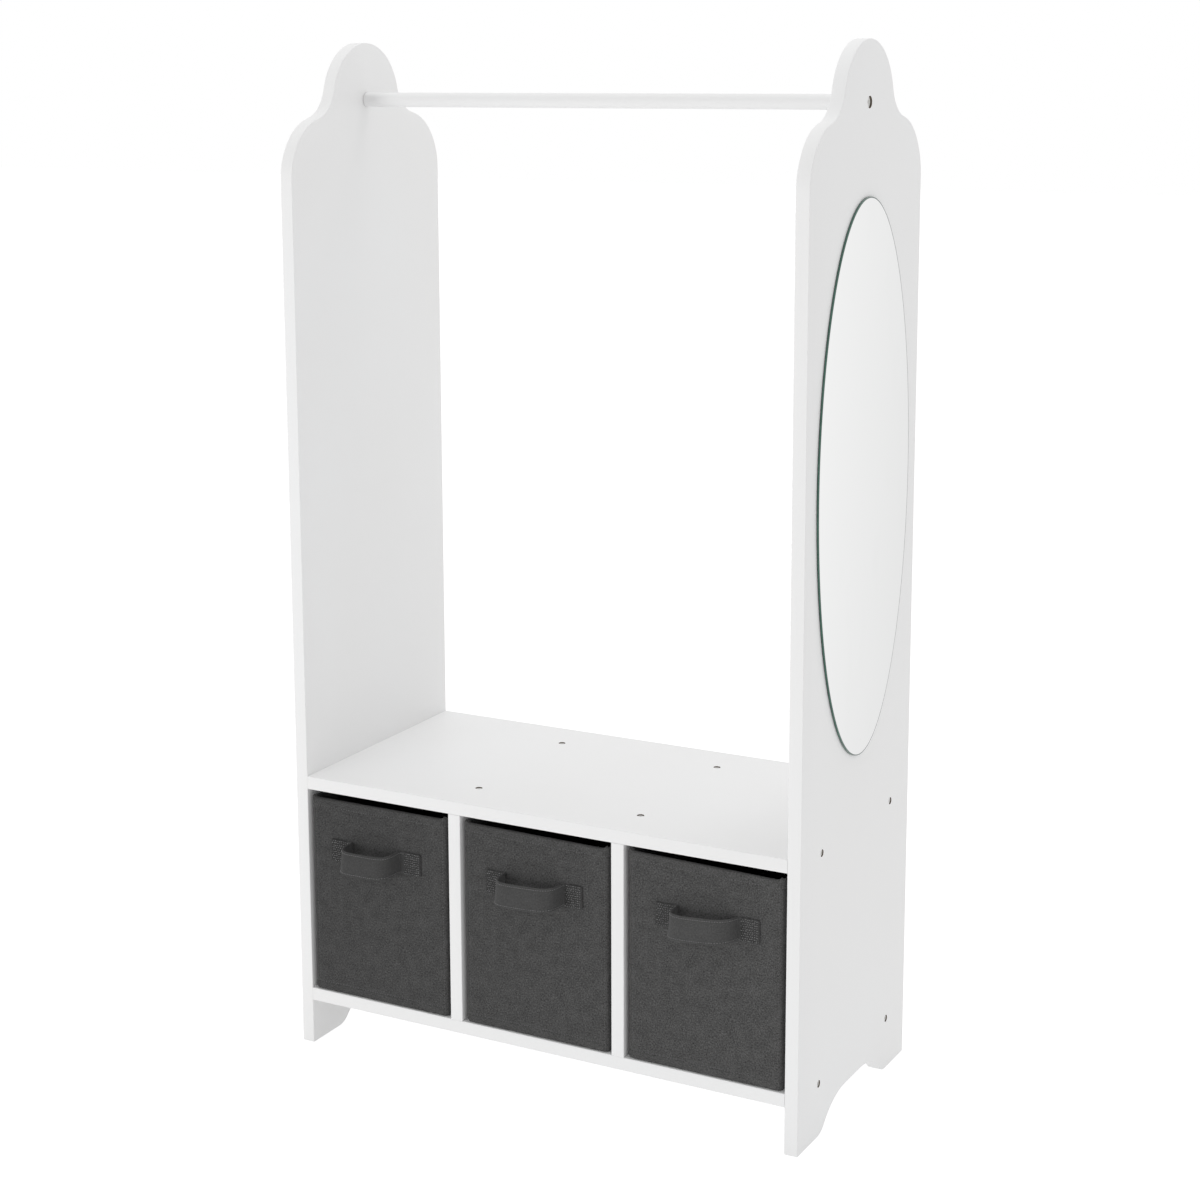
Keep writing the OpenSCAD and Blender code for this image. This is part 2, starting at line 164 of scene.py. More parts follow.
# %% A finish
class Finish:
    """A node tree under construction: a material's, a lamp's or the world's."""

    def __init__(self, owner):
        owner.use_nodes = True
        self.owner = owner
        self.tree = owner.node_tree
        self.tree.nodes.clear()

    def put(self, socket, value):
        """Joins a wire to a socket, or sets the socket to a value."""
        if isinstance(value, Wire):
            self.tree.links.new(value.socket, socket)
        elif socket.type == "RGBA":
            socket.default_value = (*value[:3], 1)
        else:
            socket.default_value = value

    def node(self, kind, settings=None, values=None, output=0):
        """Any node: its kind, what it is set to, its sockets' values, and which output goes on."""
        made = self.tree.nodes.new(kind)
        for name, value in (settings or {}).items():
            setattr(made, name, value)
        for name, value in (values or {}).items():
            self.put(made.inputs[name], value)
        return Wire(self, made.outputs[output])

    def surface(self, **values):
        """The Principled shader with its sockets; in a name, _ stands for a space."""
        titled = {n.replace("_", " ").title().replace("Ior", "IOR"): v for n, v in values.items()}
        return self.end(self.node("ShaderNodeBsdfPrincipled", None, titled))

    def end(self, shader, kind="ShaderNodeOutputMaterial"):
        """Joins the last shader to the output, and gives back what owns the tree."""
        out = self.tree.nodes.new(kind)
        self.tree.links.new(shader.socket, out.inputs[0])
        return self.owner

    def place(self):
        """The point on the object, in metres."""
        return self.node("ShaderNodeTexCoord", output="Object")

    def cloth_place(self):
        """The point on the cloth as it was cut, in metres: across, along, and both as a vector."""
        both = self.node("ShaderNodeUVMap", {"uv_map": "cloth"})
        across, along = (self.node("ShaderNodeSeparateXYZ", None, {0: both}, axis) for axis in "XY")
        return across, along, both

    def noise(self, place, grain, detail=2.0):
        """Soft noise whose lumps are about grain metres apart."""
        values = {"Vector": place, "Scale": 1 / grain, "Detail": detail}
        return self.node("ShaderNodeTexNoise", None, values, "Fac")

    def stretched(self, place, scale):
        """The place with each axis scaled, to draw a pattern out along one of them."""
        return self.node("ShaderNodeMapping", None, {"Vector": place, "Scale": scale})

    def blend(self, share, first, second):
        """A colour between two, by a share from 0 to 1."""
        colours = {0: share, 6: first, 7: second}
        return self.node("ShaderNodeMix", {"data_type": "RGBA"}, colours, 2)

    def mixed(self, share, first, second):
        """A shader between two, by a share from 0 to 1."""
        return self.node("ShaderNodeMixShader", None, {0: share, 1: first, 2: second})

    def bump(self, height, strength, depth):
        """Turns a height from 0 to 1 into a normal, as if the surface were depth metres deep."""
        values = {"Height": height, "Strength": strength, "Distance": depth}
        return self.node("ShaderNodeBump", None, values, "Normal")


def new_finish(name):
    return Finish(bpy.data.materials.new(name))


def tone(level):
    """A colour's linear value for a level from 0 to 255 as a picture shows it."""
    share = level / 255
    return share / 12.92 if share <= 0.04045 else ((share + 0.055) / 1.055) ** 2.4


def grey(level, warm=0.0):
    """A grey as linear red, green and blue, a little warmer or cooler if asked."""
    return tuple(tone(level * (1 + warm * side)) for side in (1, 0, -1))


# %% [markdown]
# ## Light and background
#
# White furniture on a white ground needs an even, soft light: a bright room from all sides, a large
# lamp in front that makes the fronts a little brighter than the sides, and one high up behind for the
# bench. The floor glows of its own to the light that bounces, so it lights the unit from below like a
# lamp, and it glows less beneath the unit, a painted shadow. The ground looks white because the floor
# and the world are white to the camera, and not because more light falls on the unit. The floor still
# takes the unit's soft shadow.
#
# Gloss sees another room: no lamps, because they would leave bright patches on the paint, and two
# whites with a soft edge between them, which give the flat mirror its slow change of tone.

# %% World, lamp and floor
ROOM_LIGHT, MORE_BEHIND, LESS_ABOVE = 0.78, 0.22, 0.04
# The two whites that gloss sees, and the directions between which one turns into the other.
DARKER_WHITE, LIGHTER_WHITE = 0.858, 0.975
SOFT_EDGE = (0.335, 0.378)
# The floor to the light that bounces: its grey, its glow, the share of the glow left beneath the
# unit as a painted shadow, and the distances on X and Y over which that part ends.
GROUND_GREY, GROUND_GLOW, COVERED_GLOW = 0.25, 0.745, 0.7
COVERED_X, COVERED_Y = (0.27, 0.34), (0.12, 0.2)
# The floor to the camera: its white, and the share of it that takes the shadow.
FLOOR_WHITE, SHADOW_SHARE = 1.1, 0.3
FLOOR_REACH = 14.0


def which_ray(tree):
    """1 for rays from the camera, and 1 for rays off a glossy surface."""
    return (tree.node("ShaderNodeLightPath", output=f"Is {kind} Ray") for kind in ("Camera", "Glossy"))


def room():
    """The room: soft light, by the direction's Y and Z more of it from the white paper behind and a
    touch less from above. The camera sees white, and gloss sees a white that is a little darker on
    one side than on the other, by the direction's X, as in a studio with one open end."""
    tree = Finish(bpy.data.worlds.new("room"))
    camera_ray, glossy_ray = which_ray(tree)
    way = tree.node("ShaderNodeTexCoord", output="Generated")
    side, back, up = (tree.node("ShaderNodeSeparateXYZ", None, {0: way}, axis) for axis in "XYZ")
    gloss = tree.blend(side.within(*SOFT_EDGE), (DARKER_WHITE,) * 3, (LIGHTER_WHITE,) * 3)
    soft = back * MORE_BEHIND - up * LESS_ABOVE + ROOM_LIGHT
    lights = {"Color": (1, 1, 1), "Strength": soft}, {"Color": gloss}, {"Color": (1, 1, 1)}
    even, shine, white = (tree.node("ShaderNodeBackground", None, values) for values in lights)
    light = tree.mixed(camera_ray, tree.mixed(glossy_ray, even, shine), white)
    bpy.context.scene.world = tree.end(light, "ShaderNodeOutputWorld")


def lamp(name, place, target, size, power):
    """A square soft lamp at a place, turned to a target. Gloss doesn't see it, so that it leaves no
    bright patch on the paint."""
    data = bpy.data.lights.new(name, "AREA")
    data.size = size
    data.energy = power
    light = bpy.data.objects.new(name, data)
    bpy.context.scene.collection.objects.link(light)
    light.visible_glossy = False
    light.location = place
    light.rotation_mode = "QUATERNION"
    light.rotation_quaternion = (Vector(place) - Vector(target)).to_track_quat("Z", "Y")


def ground():
    """A wide pale floor, like a lit shooting table: grey to the light that bounces, with a glow of
    its own that lights the unit like a lamp, and less glow beneath the unit, a painted shadow. The
    camera sees it white with a share of the shadow, and gloss looks through it."""
    mesh = bpy.data.meshes.new("floor")
    corners = [(x * FLOOR_REACH, y * FLOOR_REACH, 0) for x, y in ((-1, -1), (1, -1), (1, 1), (-1, 1))]
    mesh.from_pydata(corners, [], [(0, 1, 2, 3)])
    floor = bpy.data.objects.new("floor", mesh)
    bpy.context.scene.collection.objects.link(floor)
    floor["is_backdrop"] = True
    tree = new_finish("floor_paper")
    camera_ray, glossy_ray = which_ray(tree)
    place = tree.place()
    far = [abs(tree.node("ShaderNodeSeparateXYZ", None, {0: place}, axis)) for axis in "XY"]
    # Painted shadow: the floor's glow is dimmed beneath the unit, where a real floor would lie in its shade.
    painted_shadow = (1 - far[0].within(*COVERED_X)) * (1 - far[1].within(*COVERED_Y))
    glow = (1 - painted_shadow * (1 - COVERED_GLOW)) * GROUND_GLOW
    table, seen = (
        tree.node(
            "ShaderNodeAddShader",
            None,
            {
                0: tree.node("ShaderNodeBsdfDiffuse", None, {"Color": (colour,) * 3}),
                1: tree.node("ShaderNodeEmission", None, {"Strength": glow}),
            },
        )
        for colour, glow in ((GROUND_GREY, glow), (SHADOW_SHARE, FLOOR_WHITE - SHADOW_SHARE * ROOM_LIGHT))
    )
    through = tree.node("ShaderNodeBsdfTransparent")
    mesh.materials.append(tree.end(tree.mixed(camera_ray, tree.mixed(glossy_ray, table, through), seen)))


room()
ground()
lamp("front_lamp", (-2.2, -5.2, 0.4), (0, 0, 0.5), 1.8, 105)
lamp("top_lamp", (0.1, 0.9, 3.7), (0, 0.1, 0.3), 1.4, 28)
bpy.context.scene.view_settings.view_transform = "Standard"

# %% [markdown]
# ## The finishes
#
# - **Painted board**: fibreboard sprayed satin white. The paint is nearly even, with a faint orange
#   peel and a slow change of sheen. The cut edges drink more paint and stay a touch rougher.
# - **Powder coat** on the rail is smoother and a little shinier.
# - **Cloth** is a plain weave: threads run over and under each other in both directions, and the
#   yarn is heathered, so the charcoal is mottled when seen from afar.
# - **Mirror**: the face is silver behind clear glass, and the bare edge of the glass is green.


# %% Paint, metal and the small finishes
def painted(name, level, roughness, peel, grain=2.2 * MM):
    """Satin paint: near white with a slow drift of tone and sheen, and fine orange peel."""
    finish = new_finish(name)
    place = finish.place()
    drift = finish.noise(place, 0.21, 1.0)
    return finish.surface(
        base_color=finish.blend(drift, grey(level - 1.5, 0.002), grey(level + 1.5, -0.002)),
        roughness=roughness + 0.08 * finish.noise(place, 34 * MM),
        normal=finish.bump(finish.noise(place, grain, 1.5), peel, 0.2 * MM),
    )


def zinc():
    """Zinc-flake coat: pale and matt, with fine spangle and the steel's gloss barely through it."""
    finish = new_finish("zinc")
    place = finish.place()
    spangle = finish.noise(place, 1.1 * MM, 3.0)
    return finish.surface(
        base_color=finish.blend(spangle, (0.72, 0.72, 0.7), (0.84, 0.84, 0.82)),
        metallic=0.3 * spangle,
        roughness=0.45 + 0.2 * finish.noise(place, 0.6 * MM),
        normal=finish.bump(spangle, 0.2, 0.1 * MM),
    )


def silvered():
    """Silver behind clear glass: a mirror with the glass's own faint tint and a few dull wipes."""
    finish = new_finish("silvered_glass")
    wiped = finish.noise(finish.stretched(finish.place(), (1, 1, 0.35)), 50 * MM, 3.0).within(0.55, 0.8)
    return finish.surface(
        base_color=finish.blend(wiped, (0.905, 0.908, 0.906), (0.89, 0.894, 0.891)),
        metallic=1.0,
        roughness=0.012 + 0.02 * wiped,
    )


def glass_edge():
    """The ground edge of float glass: the light has come a long way through it, so it is green."""
    finish = new_finish("glass_edge")
    depth = finish.noise(finish.stretched(finish.place(), (1, 0.2, 0.2)), 4 * MM)
    return finish.surface(
        base_color=finish.blend(depth, (0.018, 0.075, 0.05), (0.05, 0.16, 0.115)),
        roughness=0.2 + 0.15 * depth,
        coat_weight=0.6,
        coat_roughness=0.08,
    )


def plain(name, first, second, grain, roughness, depth=0.15):
    """A moulded, drawn or rolled surface: two near colours in soft lumps, with a fine bump."""
    finish = new_finish(name)
    lumps = finish.noise(finish.place(), grain, 3.0)
    return finish.surface(
        base_color=finish.blend(lumps, first, second),
        roughness=roughness + 0.1 * lumps,
        normal=finish.bump(lumps, depth, 0.2 * MM),
    )


def beech(name, along):
    """Beech: pale wood whose fine dark flecks are drawn out along the grain's axis."""
    finish = new_finish(name)
    drawn = finish.stretched(finish.place(), [0.12 if axis == along else 1.0 for axis in range(3)])
    grain = finish.noise(drawn, 1.6 * MM, 4.0)
    fleck = finish.noise(drawn, 0.7 * MM).within(0.62, 0.75)
    wood = finish.blend(grain, (0.6, 0.42, 0.25), (0.76, 0.58, 0.38))
    return finish.surface(
        base_color=finish.blend(fleck, wood, (0.38, 0.24, 0.13)),
        roughness=0.6 + 0.1 * grain,
        normal=finish.bump(grain, 0.3, 0.2 * MM),
    )


FACE_PAINT = painted("board_face_paint", 236, 0.34, 0.12)
EDGE_PAINT = painted("board_edge_paint", 236, 0.42, 0.2, 1.2 * MM)
RAIL_PAINT = painted("rail_powder_coat", 234, 0.26, 0.1, 1.5 * MM)
# The walls of the screw holes: the bare board's own brown, painted much darker than raw board as a painted
# shade down in the recesses.
BARE_AND_SHADED_BOARD = plain("bare_fibreboard_and_painted_shade", (0.09, 0.07, 0.05), (0.15, 0.12, 0.09), 0.8 * MM, 0.85, 0.5)
ZINC = zinc()
SILVER = silvered()
GLASS_EDGE = glass_edge()
GLASS_RIM = plain("unsilvered_rim", (0.1, 0.12, 0.115), (0.13, 0.155, 0.15), 3 * MM, 0.2, 0.05)
FILM = plain("safety_film", (0.09, 0.09, 0.095), (0.12, 0.12, 0.125), 3 * MM, 0.45)
TAPE = plain("foam_tape", (0.74, 0.74, 0.72), (0.83, 0.83, 0.81), 1.2 * MM, 0.7, 0.5)
NYLON = plain("nylon", (0.7, 0.7, 0.67), (0.76, 0.76, 0.73), 2 * MM, 0.4)
CARD = plain("grey_card", (0.33, 0.31, 0.28), (0.42, 0.4, 0.36), 1.5 * MM, 0.85, 0.4)
BEECH_ACROSS = beech("beech_across", 0)
BEECH_UPRIGHT = beech("beech_upright", 2)


# %% Cloth and thread
# How much darker the cloth is painted at the unit's left end: a painted shade for light that falls off
# across the unit.
PAINTED_LEFT_SHADE = 0.24


def weave(name, level, thread, contrast):
    """Plain weave: along and across, each thread is an arch (the size of a sine), and a chequer made
    of both sines' product says which of the two lies on top. Heathered yarn mottles the colour, and
    the colour is painted a little darker towards the left: a painted shade for the light that falls
    off across the unit."""
    finish = new_finish(name)
    across, along, both = finish.cloth_place()
    warp = (across * (math.pi / thread)).wave()
    weft = (along * (math.pi / thread)).wave()
    on_top = (warp * weft).within(-0.35, 0.35)
    height = abs(warp) * on_top + abs(weft) * (1 - on_top)
    slub = finish.noise(finish.stretched(both, (1, 0.5, 1)), 1.1 * MM)
    pick = finish.noise(finish.stretched(both, (0.5, 1, 1)), 1.1 * MM)
    heather = slub * on_top + pick * (1 - on_top)
    cloud = finish.noise(both, 14 * MM, 3.0)
    mottle = (heather * 0.85 + cloud * 0.15).within(0.3, 0.7)
    yarn = finish.blend(mottle, grey(level - 18 * contrast), grey(level + 18 * contrast, 0.004))
    # Where the threads dip under each other the colour is painted darker: a painted shade in the hollows of
    # the weave.
    cloth = finish.blend(height.within(0.0, 0.5), grey(level * 0.72), yarn)
    # Painted shade: the colour darkens towards the left end of the unit, where less light falls.
    left = 1 - finish.node("ShaderNodeSeparateXYZ", None, {0: finish.place()}, "X").within(-0.3, 0.3)
    return finish.surface(
        base_color=finish.blend(left * PAINTED_LEFT_SHADE, cloth, (0, 0, 0)),
        roughness=0.86 + 0.1 * heather,
        sheen_weight=0.08,
        sheen_roughness=0.5,
        sheen_tint=(0.85, 0.85, 0.87),
        specular_ior_level=0.15,
        normal=finish.bump(height * 0.8 + heather * 0.2, 0.5, 0.2 * MM),
    )


def sewing_thread(name, level):
    """Spun thread: matt, with a fine twist that the bump only hints at."""
    finish = new_finish(name)
    twist = finish.noise(finish.place(), 0.5 * MM)
    return finish.surface(
        base_color=finish.blend(twist, grey(level - 12), grey(level + 12)),
        roughness=0.7 + 0.1 * twist,
        sheen_weight=0.3,
        normal=finish.bump(twist, 0.4, 0.1 * MM),
    )


CLOTH = weave("charcoal_weave", 65, 0.6 * MM, 2.4)
# The straps are the bins' cloth in lighter and darker copies: the loop is painted lighter, a painted
# highlight for the light it catches standing out, and the sewn patches are painted darker, a painted shade
# in the pits between their close stitches.
LIT_STRAP = weave("strap_weave", 78, 0.6 * MM, 0.9)
SHADED_SEWN_STRAP = weave("sewn_strap_weave", 61, 0.6 * MM, 1.6)
LINING = weave("lining_weave", 64, 0.5 * MM, 0.6)
THREAD = sewing_thread("dark_thread", 90)
STRAP_THREAD = sewing_thread("grey_thread", 120)

# %% [markdown]
# ## From arrays to pieces
#
# A piece is one or more skins. A skin is a grid of points worked out at once from two parameters, or
# a flat face with holes. Skins that meet have the same points along their seam, so merging the
# doubles closes the piece, and then its faces can all be turned outwards.
#
# A flat face keeps its own flat shade. Where a smooth edge runs into it, only the edge is shaded
# round, as on a sanded board.


# %% Skins
def skin(points, faces, cloth=None, finish=0, flat=False):
    """Points, the faces between them, each point's place on the cut cloth, and the finish."""
    points = np.asarray(points, float).reshape(-1, 3)
    cloth = points[:, :2] if cloth is None else np.asarray(cloth, float).reshape(-1, 2)
    return {"points": points, "faces": np.asarray(faces), "cloth": cloth, "finish": finish, "flat": flat}


def grid(points, cloth=None, finish=0):
    """A skin over a grid: each quad joins a point to the next along one way, both, and the other."""
    rows, columns = points.shape[:2]
    number = np.arange(rows * columns).reshape(rows, columns)
    quads = np.stack([number[:-1, :-1], number[1:, :-1], number[1:, 1:], number[:-1, 1:]], -1)
    return skin(points, quads.reshape(-1, 4), cloth, finish)


def closed(rings):
    """Rings of points, each with its first point again at its end, so that the loop closes."""
    return np.concatenate([rings, rings[:, :1]], 1)


def circle(centre, radius, count=48):
    """Points of a circle: the centre plus the radius times cosine and sine."""
    turn = np.linspace(0, 2 * math.pi, count, endpoint=False)
    return np.asarray(centre) + radius * np.stack([np.cos(turn), np.sin(turn)], -1)


def inside(points, edges):
    """Which points lie inside the loops: a ray along +X crosses their edges an odd number of
    times. edges holds the two ends of each edge."""
    start, end = edges[:, 0], edges[:, 1]
    x, y = points[:, :1], points[:, 1:]
    crosses = (start[:, 1] > y) != (end[:, 1] > y)
    rise = np.where(end[:, 1] == start[:, 1], 1.0, end[:, 1] - start[:, 1])
    at = start[:, 0] + (y - start[:, 1]) * (end[:, 0] - start[:, 0]) / rise
    return (crosses & (at > x)).sum(1) % 2 == 1


def flat_skin(loops, place, finish=0):
    """A flat face between loops, the outline first and then its holes. The points are joined into
    triangles that keep to the loops, and those outside the outline or in a hole are dropped. place
    lifts flat points into the room."""
    counts = np.cumsum([0] + [len(loop) for loop in loops])
    spans = [np.arange(a, b) for a, b in zip(counts, counts[1:])]
    edges = np.concatenate([np.stack([span, np.roll(span, -1)], 1) for span in spans])
    flat = np.concatenate(loops)
    found = delaunay_2d_cdt([Vector(p) for p in flat.tolist()], edges.tolist(), [], 0, 1e-9, False)
    points, triangles = np.array(found[0]), np.array(found[2])
    kept = triangles[inside(points[triangles].mean(1), flat[edges])]
    return skin(place(points), kept, None, finish, flat=True)


# %% A piece from its skins
SAME_POINT = 2e-6
SHARP = math.radians(38)


def make_piece(name, skins, finishes, body, stands_for=()):
    """Joins skins into one mesh, merges the doubles along their seams, turns the faces outwards and
    hands the piece to the frame: the body it rides on and the nodes it stands for."""
    start = np.cumsum([0] + [len(s["points"]) for s in skins])
    faces = [face for s, n in zip(skins, start) for face in (s["faces"] + n).tolist()]
    finish = np.concatenate([np.full(len(s["faces"]), s["finish"]) for s in skins])
    flat = np.concatenate([np.full(len(s["faces"]), s["flat"]) for s in skins])
    mesh = bpy.data.meshes.new(name)
    mesh.from_pydata(np.concatenate([s["points"] for s in skins]), [], faces)
    mesh.polygons.foreach_set("material_index", finish.astype(np.int32))
    mesh.polygons.foreach_set("use_smooth", ~flat)
    corner = np.zeros(len(mesh.loops), np.int32)
    mesh.loops.foreach_get("vertex_index", corner)
    cloth = np.concatenate([s["cloth"] for s in skins])[corner]
    mesh.uv_layers.new(name="cloth").data.foreach_set("uv", cloth.astype(np.float32).ravel())
    shape = bmesh.new()
    shape.from_mesh(mesh)
    bmesh.ops.remove_doubles(shape, verts=shape.verts, dist=SAME_POINT)
    bmesh.ops.recalc_face_normals(shape, faces=shape.faces)
    open_edges = sum(len(edge.link_faces) != 2 for edge in shape.edges)
    shape.to_mesh(mesh)
    shape.free()
    mesh.set_sharp_from_angle(angle=SHARP)
    for material in finishes:
        mesh.materials.append(material)
    piece = bpy.data.objects.new(name, mesh)
    bpy.context.scene.collection.objects.link(piece)
    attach(piece, body)
    if stands_for:
        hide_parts(*stands_for)
    print(f"{name}: {len(mesh.polygons)} faces, {open_edges} open edges")
    return piece


# %% [markdown]
# ## Boards
#
# A painted board is a flat shape with a thickness. What makes it look real is its arris, the edge
# between face and side: it is sanded before painting, so it has a radius of under a millimetre and
# catches a thin line of light. The edge is therefore a profile, a quarter circle at each face with a
# straight run between, carried round the outline. Where a board butts against another its end is
# cut square, so there the outline hardly moves in with the arris.
#
# Each screw sits in a stepped hole: a wide recess for the head, and a narrow hole for the shank.

# %% A board with rounded arrises and stepped holes
ARRIS = 0.9 * MM
END_ARRIS_SHARE = 0.2
HOLE_ARRIS = 0.25 * MM


def edge_profile(thickness, arris, steps=5):
    """Inset and depth of a board's edge: a quarter circle in, a straight run, a quarter circle."""
    turn = np.linspace(0, math.pi / 2, steps + 1)
    inset = arris * (1 - np.sin(turn))
    depth = arris * (1 - np.cos(turn))
    return np.concatenate([inset, inset[::-1]]), np.concatenate([depth, thickness - depth[::-1]])


def stepped_hole(centre, head, shank, recess, thickness):
    """A round hole through a board as rings of points and their depths: a small arris, the recess
    for the head, and the narrower hole for the shank. It is drilled after painting, so it is bare,
    and its walls are painted darker than bare board, a painted shade down in the hole."""
    radius = np.array([head + HOLE_ARRIS, head, head, shank, shank])
    depth = np.array([0, HOLE_ARRIS, recess, recess, thickness])
    return {"rings": np.stack([circle(centre, r) for r in radius]), "depth": depth, "finish": 2}


def lifted(axis, start, way=1):
    """How flat points get into the room: their depth runs from start along one axis, forwards or
    backwards, and their own two numbers go to the other two axes."""

    def place(flat, depth=0.0):
        columns = [flat[..., 0], flat[..., 1]]
        columns.insert(axis, np.broadcast_to(start + way * depth, flat.shape[:-1]))
        return np.stack(columns, -1)

    return place


def board_skins(outline, inward, thickness, place, holes=(), arris=ARRIS, finishes=(0, 1)):
    """Edge, two faces and holes of a board. Point k of the outline moves along inward k times the
    profile's inset. place(flat, depth) lifts flat points at a depth into the room."""
    inset, depth = edge_profile(thickness, arris)
    face, edge = finishes
    edge_rings = {"rings": outline[None] + inset[:, None, None] * inward[None], "depth": depth}
    walls = [edge_rings, *holes]
    skins = []
    for wall in walls:
        rings = closed(wall["rings"])
        deep = np.broadcast_to(wall["depth"][:, None], rings.shape[:2])
        skins.append(grid(place(rings, deep), finish=wall.get("finish", edge)))
    for end in (0, -1):
        at = (0.0, thickness)[end]
        loops = [wall["rings"][end] for wall in walls]
        skins.append(flat_skin(loops, lambda flat: place(flat, np.full(len(flat), at)), face))
    return skins


# %% [markdown]
# ### The side panels
#
# The outline is a dome between two round shoulders over two feet. It was drawn with a compass: every
# curve is an arc that runs into the next one without a corner, so each meets the next on the line
# between their centres. The outward direction of an arc is known exactly, and that is the way in
# which the arris moves each point.

# %% Outline of a side panel
DOME_R, SHOULDER_R, HOLLOW_R = 67.5 * MM, 67 * MM, 42.5 * MM
SHOULDER_DROP = 78.5 * MM
FOOT_LENGTH, FOOT_R = 54 * MM, 25 * MM
ARCH_H, ARCH_R = 30 * MM, 85 * MM
TOE_R = 1.2 * MM


def arc(centre, radius, start, end, step=2.0, hollow=False):
    """Points and outward directions of an arc between two angles, a few degrees apart. In a hollow
    the board lies outside the circle, so outward points to the centre."""
    turn = np.radians(np.linspace(start, end, math.ceil(abs(end - start) / step) + 1))
    out = np.stack([np.cos(turn), np.sin(turn)], -1)
    return np.asarray(centre) + radius * out, -out if hollow else out


def angle_to(a, b):
    """The angle of the line from a to b, in degrees."""
    return math.degrees(math.atan2(b[1] - a[1], b[0] - a[0]))


def circles_meet(a, radius_a, b, radius_b):
    """The outer point where two circles meet: along the line between the centres by the cosine
    rule, then square to it by Pythagoras."""
    a, b = np.asarray(a), np.asarray(b)
    gap = np.hypot(*(b - a))
    along = (gap**2 + radius_a**2 - radius_b**2) / (2 * gap)
    way = (b - a) / gap
    return a + along * way + math.sqrt(radius_a**2 - along**2) * np.array([-way[1], way[0]])


def panel_outline(middle, half, height):
    """Points and inward directions round a side panel. The right half is drawn from the arch up to
    the dome, and the left half is its mirror image in the other order."""
    dome = (0, height - DOME_R)
    shoulder = (half - SHOULDER_R, dome[1] - SHOULDER_DROP)
    hollow = circles_meet(dome, DOME_R + HOLLOW_R, shoulder, SHOULDER_R + HOLLOW_R)
    foot = (half - FOOT_LENGTH, FOOT_R)
    rise = FOOT_R + ARCH_R - ARCH_H
    arch = (foot[0] - math.sqrt((FOOT_R + ARCH_R) ** 2 - rise**2), ARCH_H - ARCH_R)
    up_foot, up_shoulder, up_dome = angle_to(arch, foot), angle_to(shoulder, hollow), angle_to(dome, hollow)
    runs = [
        arc(arch, ARCH_R, 90, up_foot, hollow=True),
        arc(foot, FOOT_R, up_foot + 180, 270, 4.0),
        arc((half - TOE_R, TOE_R), TOE_R, 270, 360, 22.5),
        arc(shoulder, SHOULDER_R, 0, up_shoulder),
        arc(hollow, HOLLOW_R, up_shoulder + 180, up_dome + 180, hollow=True),
        arc(dome, DOME_R, up_dome, 90),
    ]
    points, out = (np.concatenate(column) for column in zip(*runs))
    new = np.append(np.hypot(*np.diff(points, axis=0).T) > 1e-7, True)
    points, out = points[new], out[new]
    mirrored = np.array([-1, 1])
    points = np.concatenate([points, points[-2::-1] * mirrored])
    out = np.concatenate([out, out[-2::-1] * mirrored])
    return points + [middle, 0], -out


# %% Side panels, bench, shelf and dividers
SCREW = {"head": 3.7 * MM, "shank": 2.55 * MM, "recess": 4.0 * MM}
RAIL_BOLT = {"head": 6.0 * MM, "shank": 3.05 * MM, "recess": 5.0 * MM}
BOARD_FINISHES = [FACE_PAINT, EDGE_PAINT, BARE_AND_SHADED_BOARD]


def middles(node, axes):
    """The middles, on two axes, of the four screws that are one node: its points fall into four
    groups, on either side of the middle of its box."""
    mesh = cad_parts[node].data
    points = np.zeros(len(mesh.vertices) * 3, np.float32)
    mesh.vertices.foreach_get("co", points)
    points = points.reshape(-1, 3)[:, axes]
    side = points > (points.max(0) + points.min(0)) / 2
    quarters = [points[(side == which).all(1)] for which in ((0, 0), (0, 1), (1, 0), (1, 1))]
    return [(quarter.max(0) + quarter.min(0)) / 2 for quarter in quarters]


def screw_holes(node, axes, thickness):
    return [stepped_hole(centre, thickness=thickness, **SCREW) for centre in middles(node, axes)]


def side_panel(side):
    """A side panel: the outline's plane is depth and height, and its thickness runs inwards from
    the outer face, where the screws' and the rail bolt's heads are sunk."""
    node = f"{side}_side_panel"
    low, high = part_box(node)
    outline, inward = panel_outline((low.y + high.y) / 2, (high.y - low.y) / 2, high.z)
    outer, way = (high.x, -1) if side == "right" else (low.x, 1)
    thick = high.x - low.x
    rail = sum(np.array(c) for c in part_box("rail_tube"))[1:] / 2
    holes = screw_holes(f"{side}_panel_screws", (1, 2), thick)
    holes.append(stepped_hole(rail, thickness=thick, **RAIL_BOLT))
    skins = board_skins(outline, inward, thick, lifted(0, outer, way), holes)
    make_piece(f"{side}_panel_board", skins, BOARD_FINISHES, "carcass", [node])


def rectangle(low, high, cut_axis):
    """Corners of a board's face and their inward directions. The ends along the cut axis are sawn
    square and butt against other boards, so there the corners move in by a small share only."""
    corners = np.array([(low[0], low[1]), (high[0], low[1]), (high[0], high[1]), (low[0], high[1])])
    inward = np.array([(1, 1), (-1, 1), (-1, -1), (1, -1)], float)
    inward[:, cut_axis] *= END_ARRIS_SHARE
    return corners, inward


def flat_board(node, screws, from_top):
    """A level board with its screws sunk in the upper face, or in the lower one."""
    low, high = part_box(node)
    thick = high.z - low.z
    start, way = (high.z, -1) if from_top else (low.z, 1)
    holes = screw_holes(screws, (0, 1), thick)
    skins = board_skins(*rectangle(low.xy, high.xy, 0), thick, lifted(2, start, way), holes)
    make_piece(f"{node}_board", skins, BOARD_FINISHES, "carcass", [node])


def upright_board(node):
    """A divider: its face is depth and height, and its thickness runs along the unit's width."""
    low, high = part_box(node)
    skins = board_skins(*rectangle(low.yz, high.yz, 1), high.x - low.x, lifted(0, low.x))
    make_piece(f"{node}_board", skins, BOARD_FINISHES, "carcass", [node])


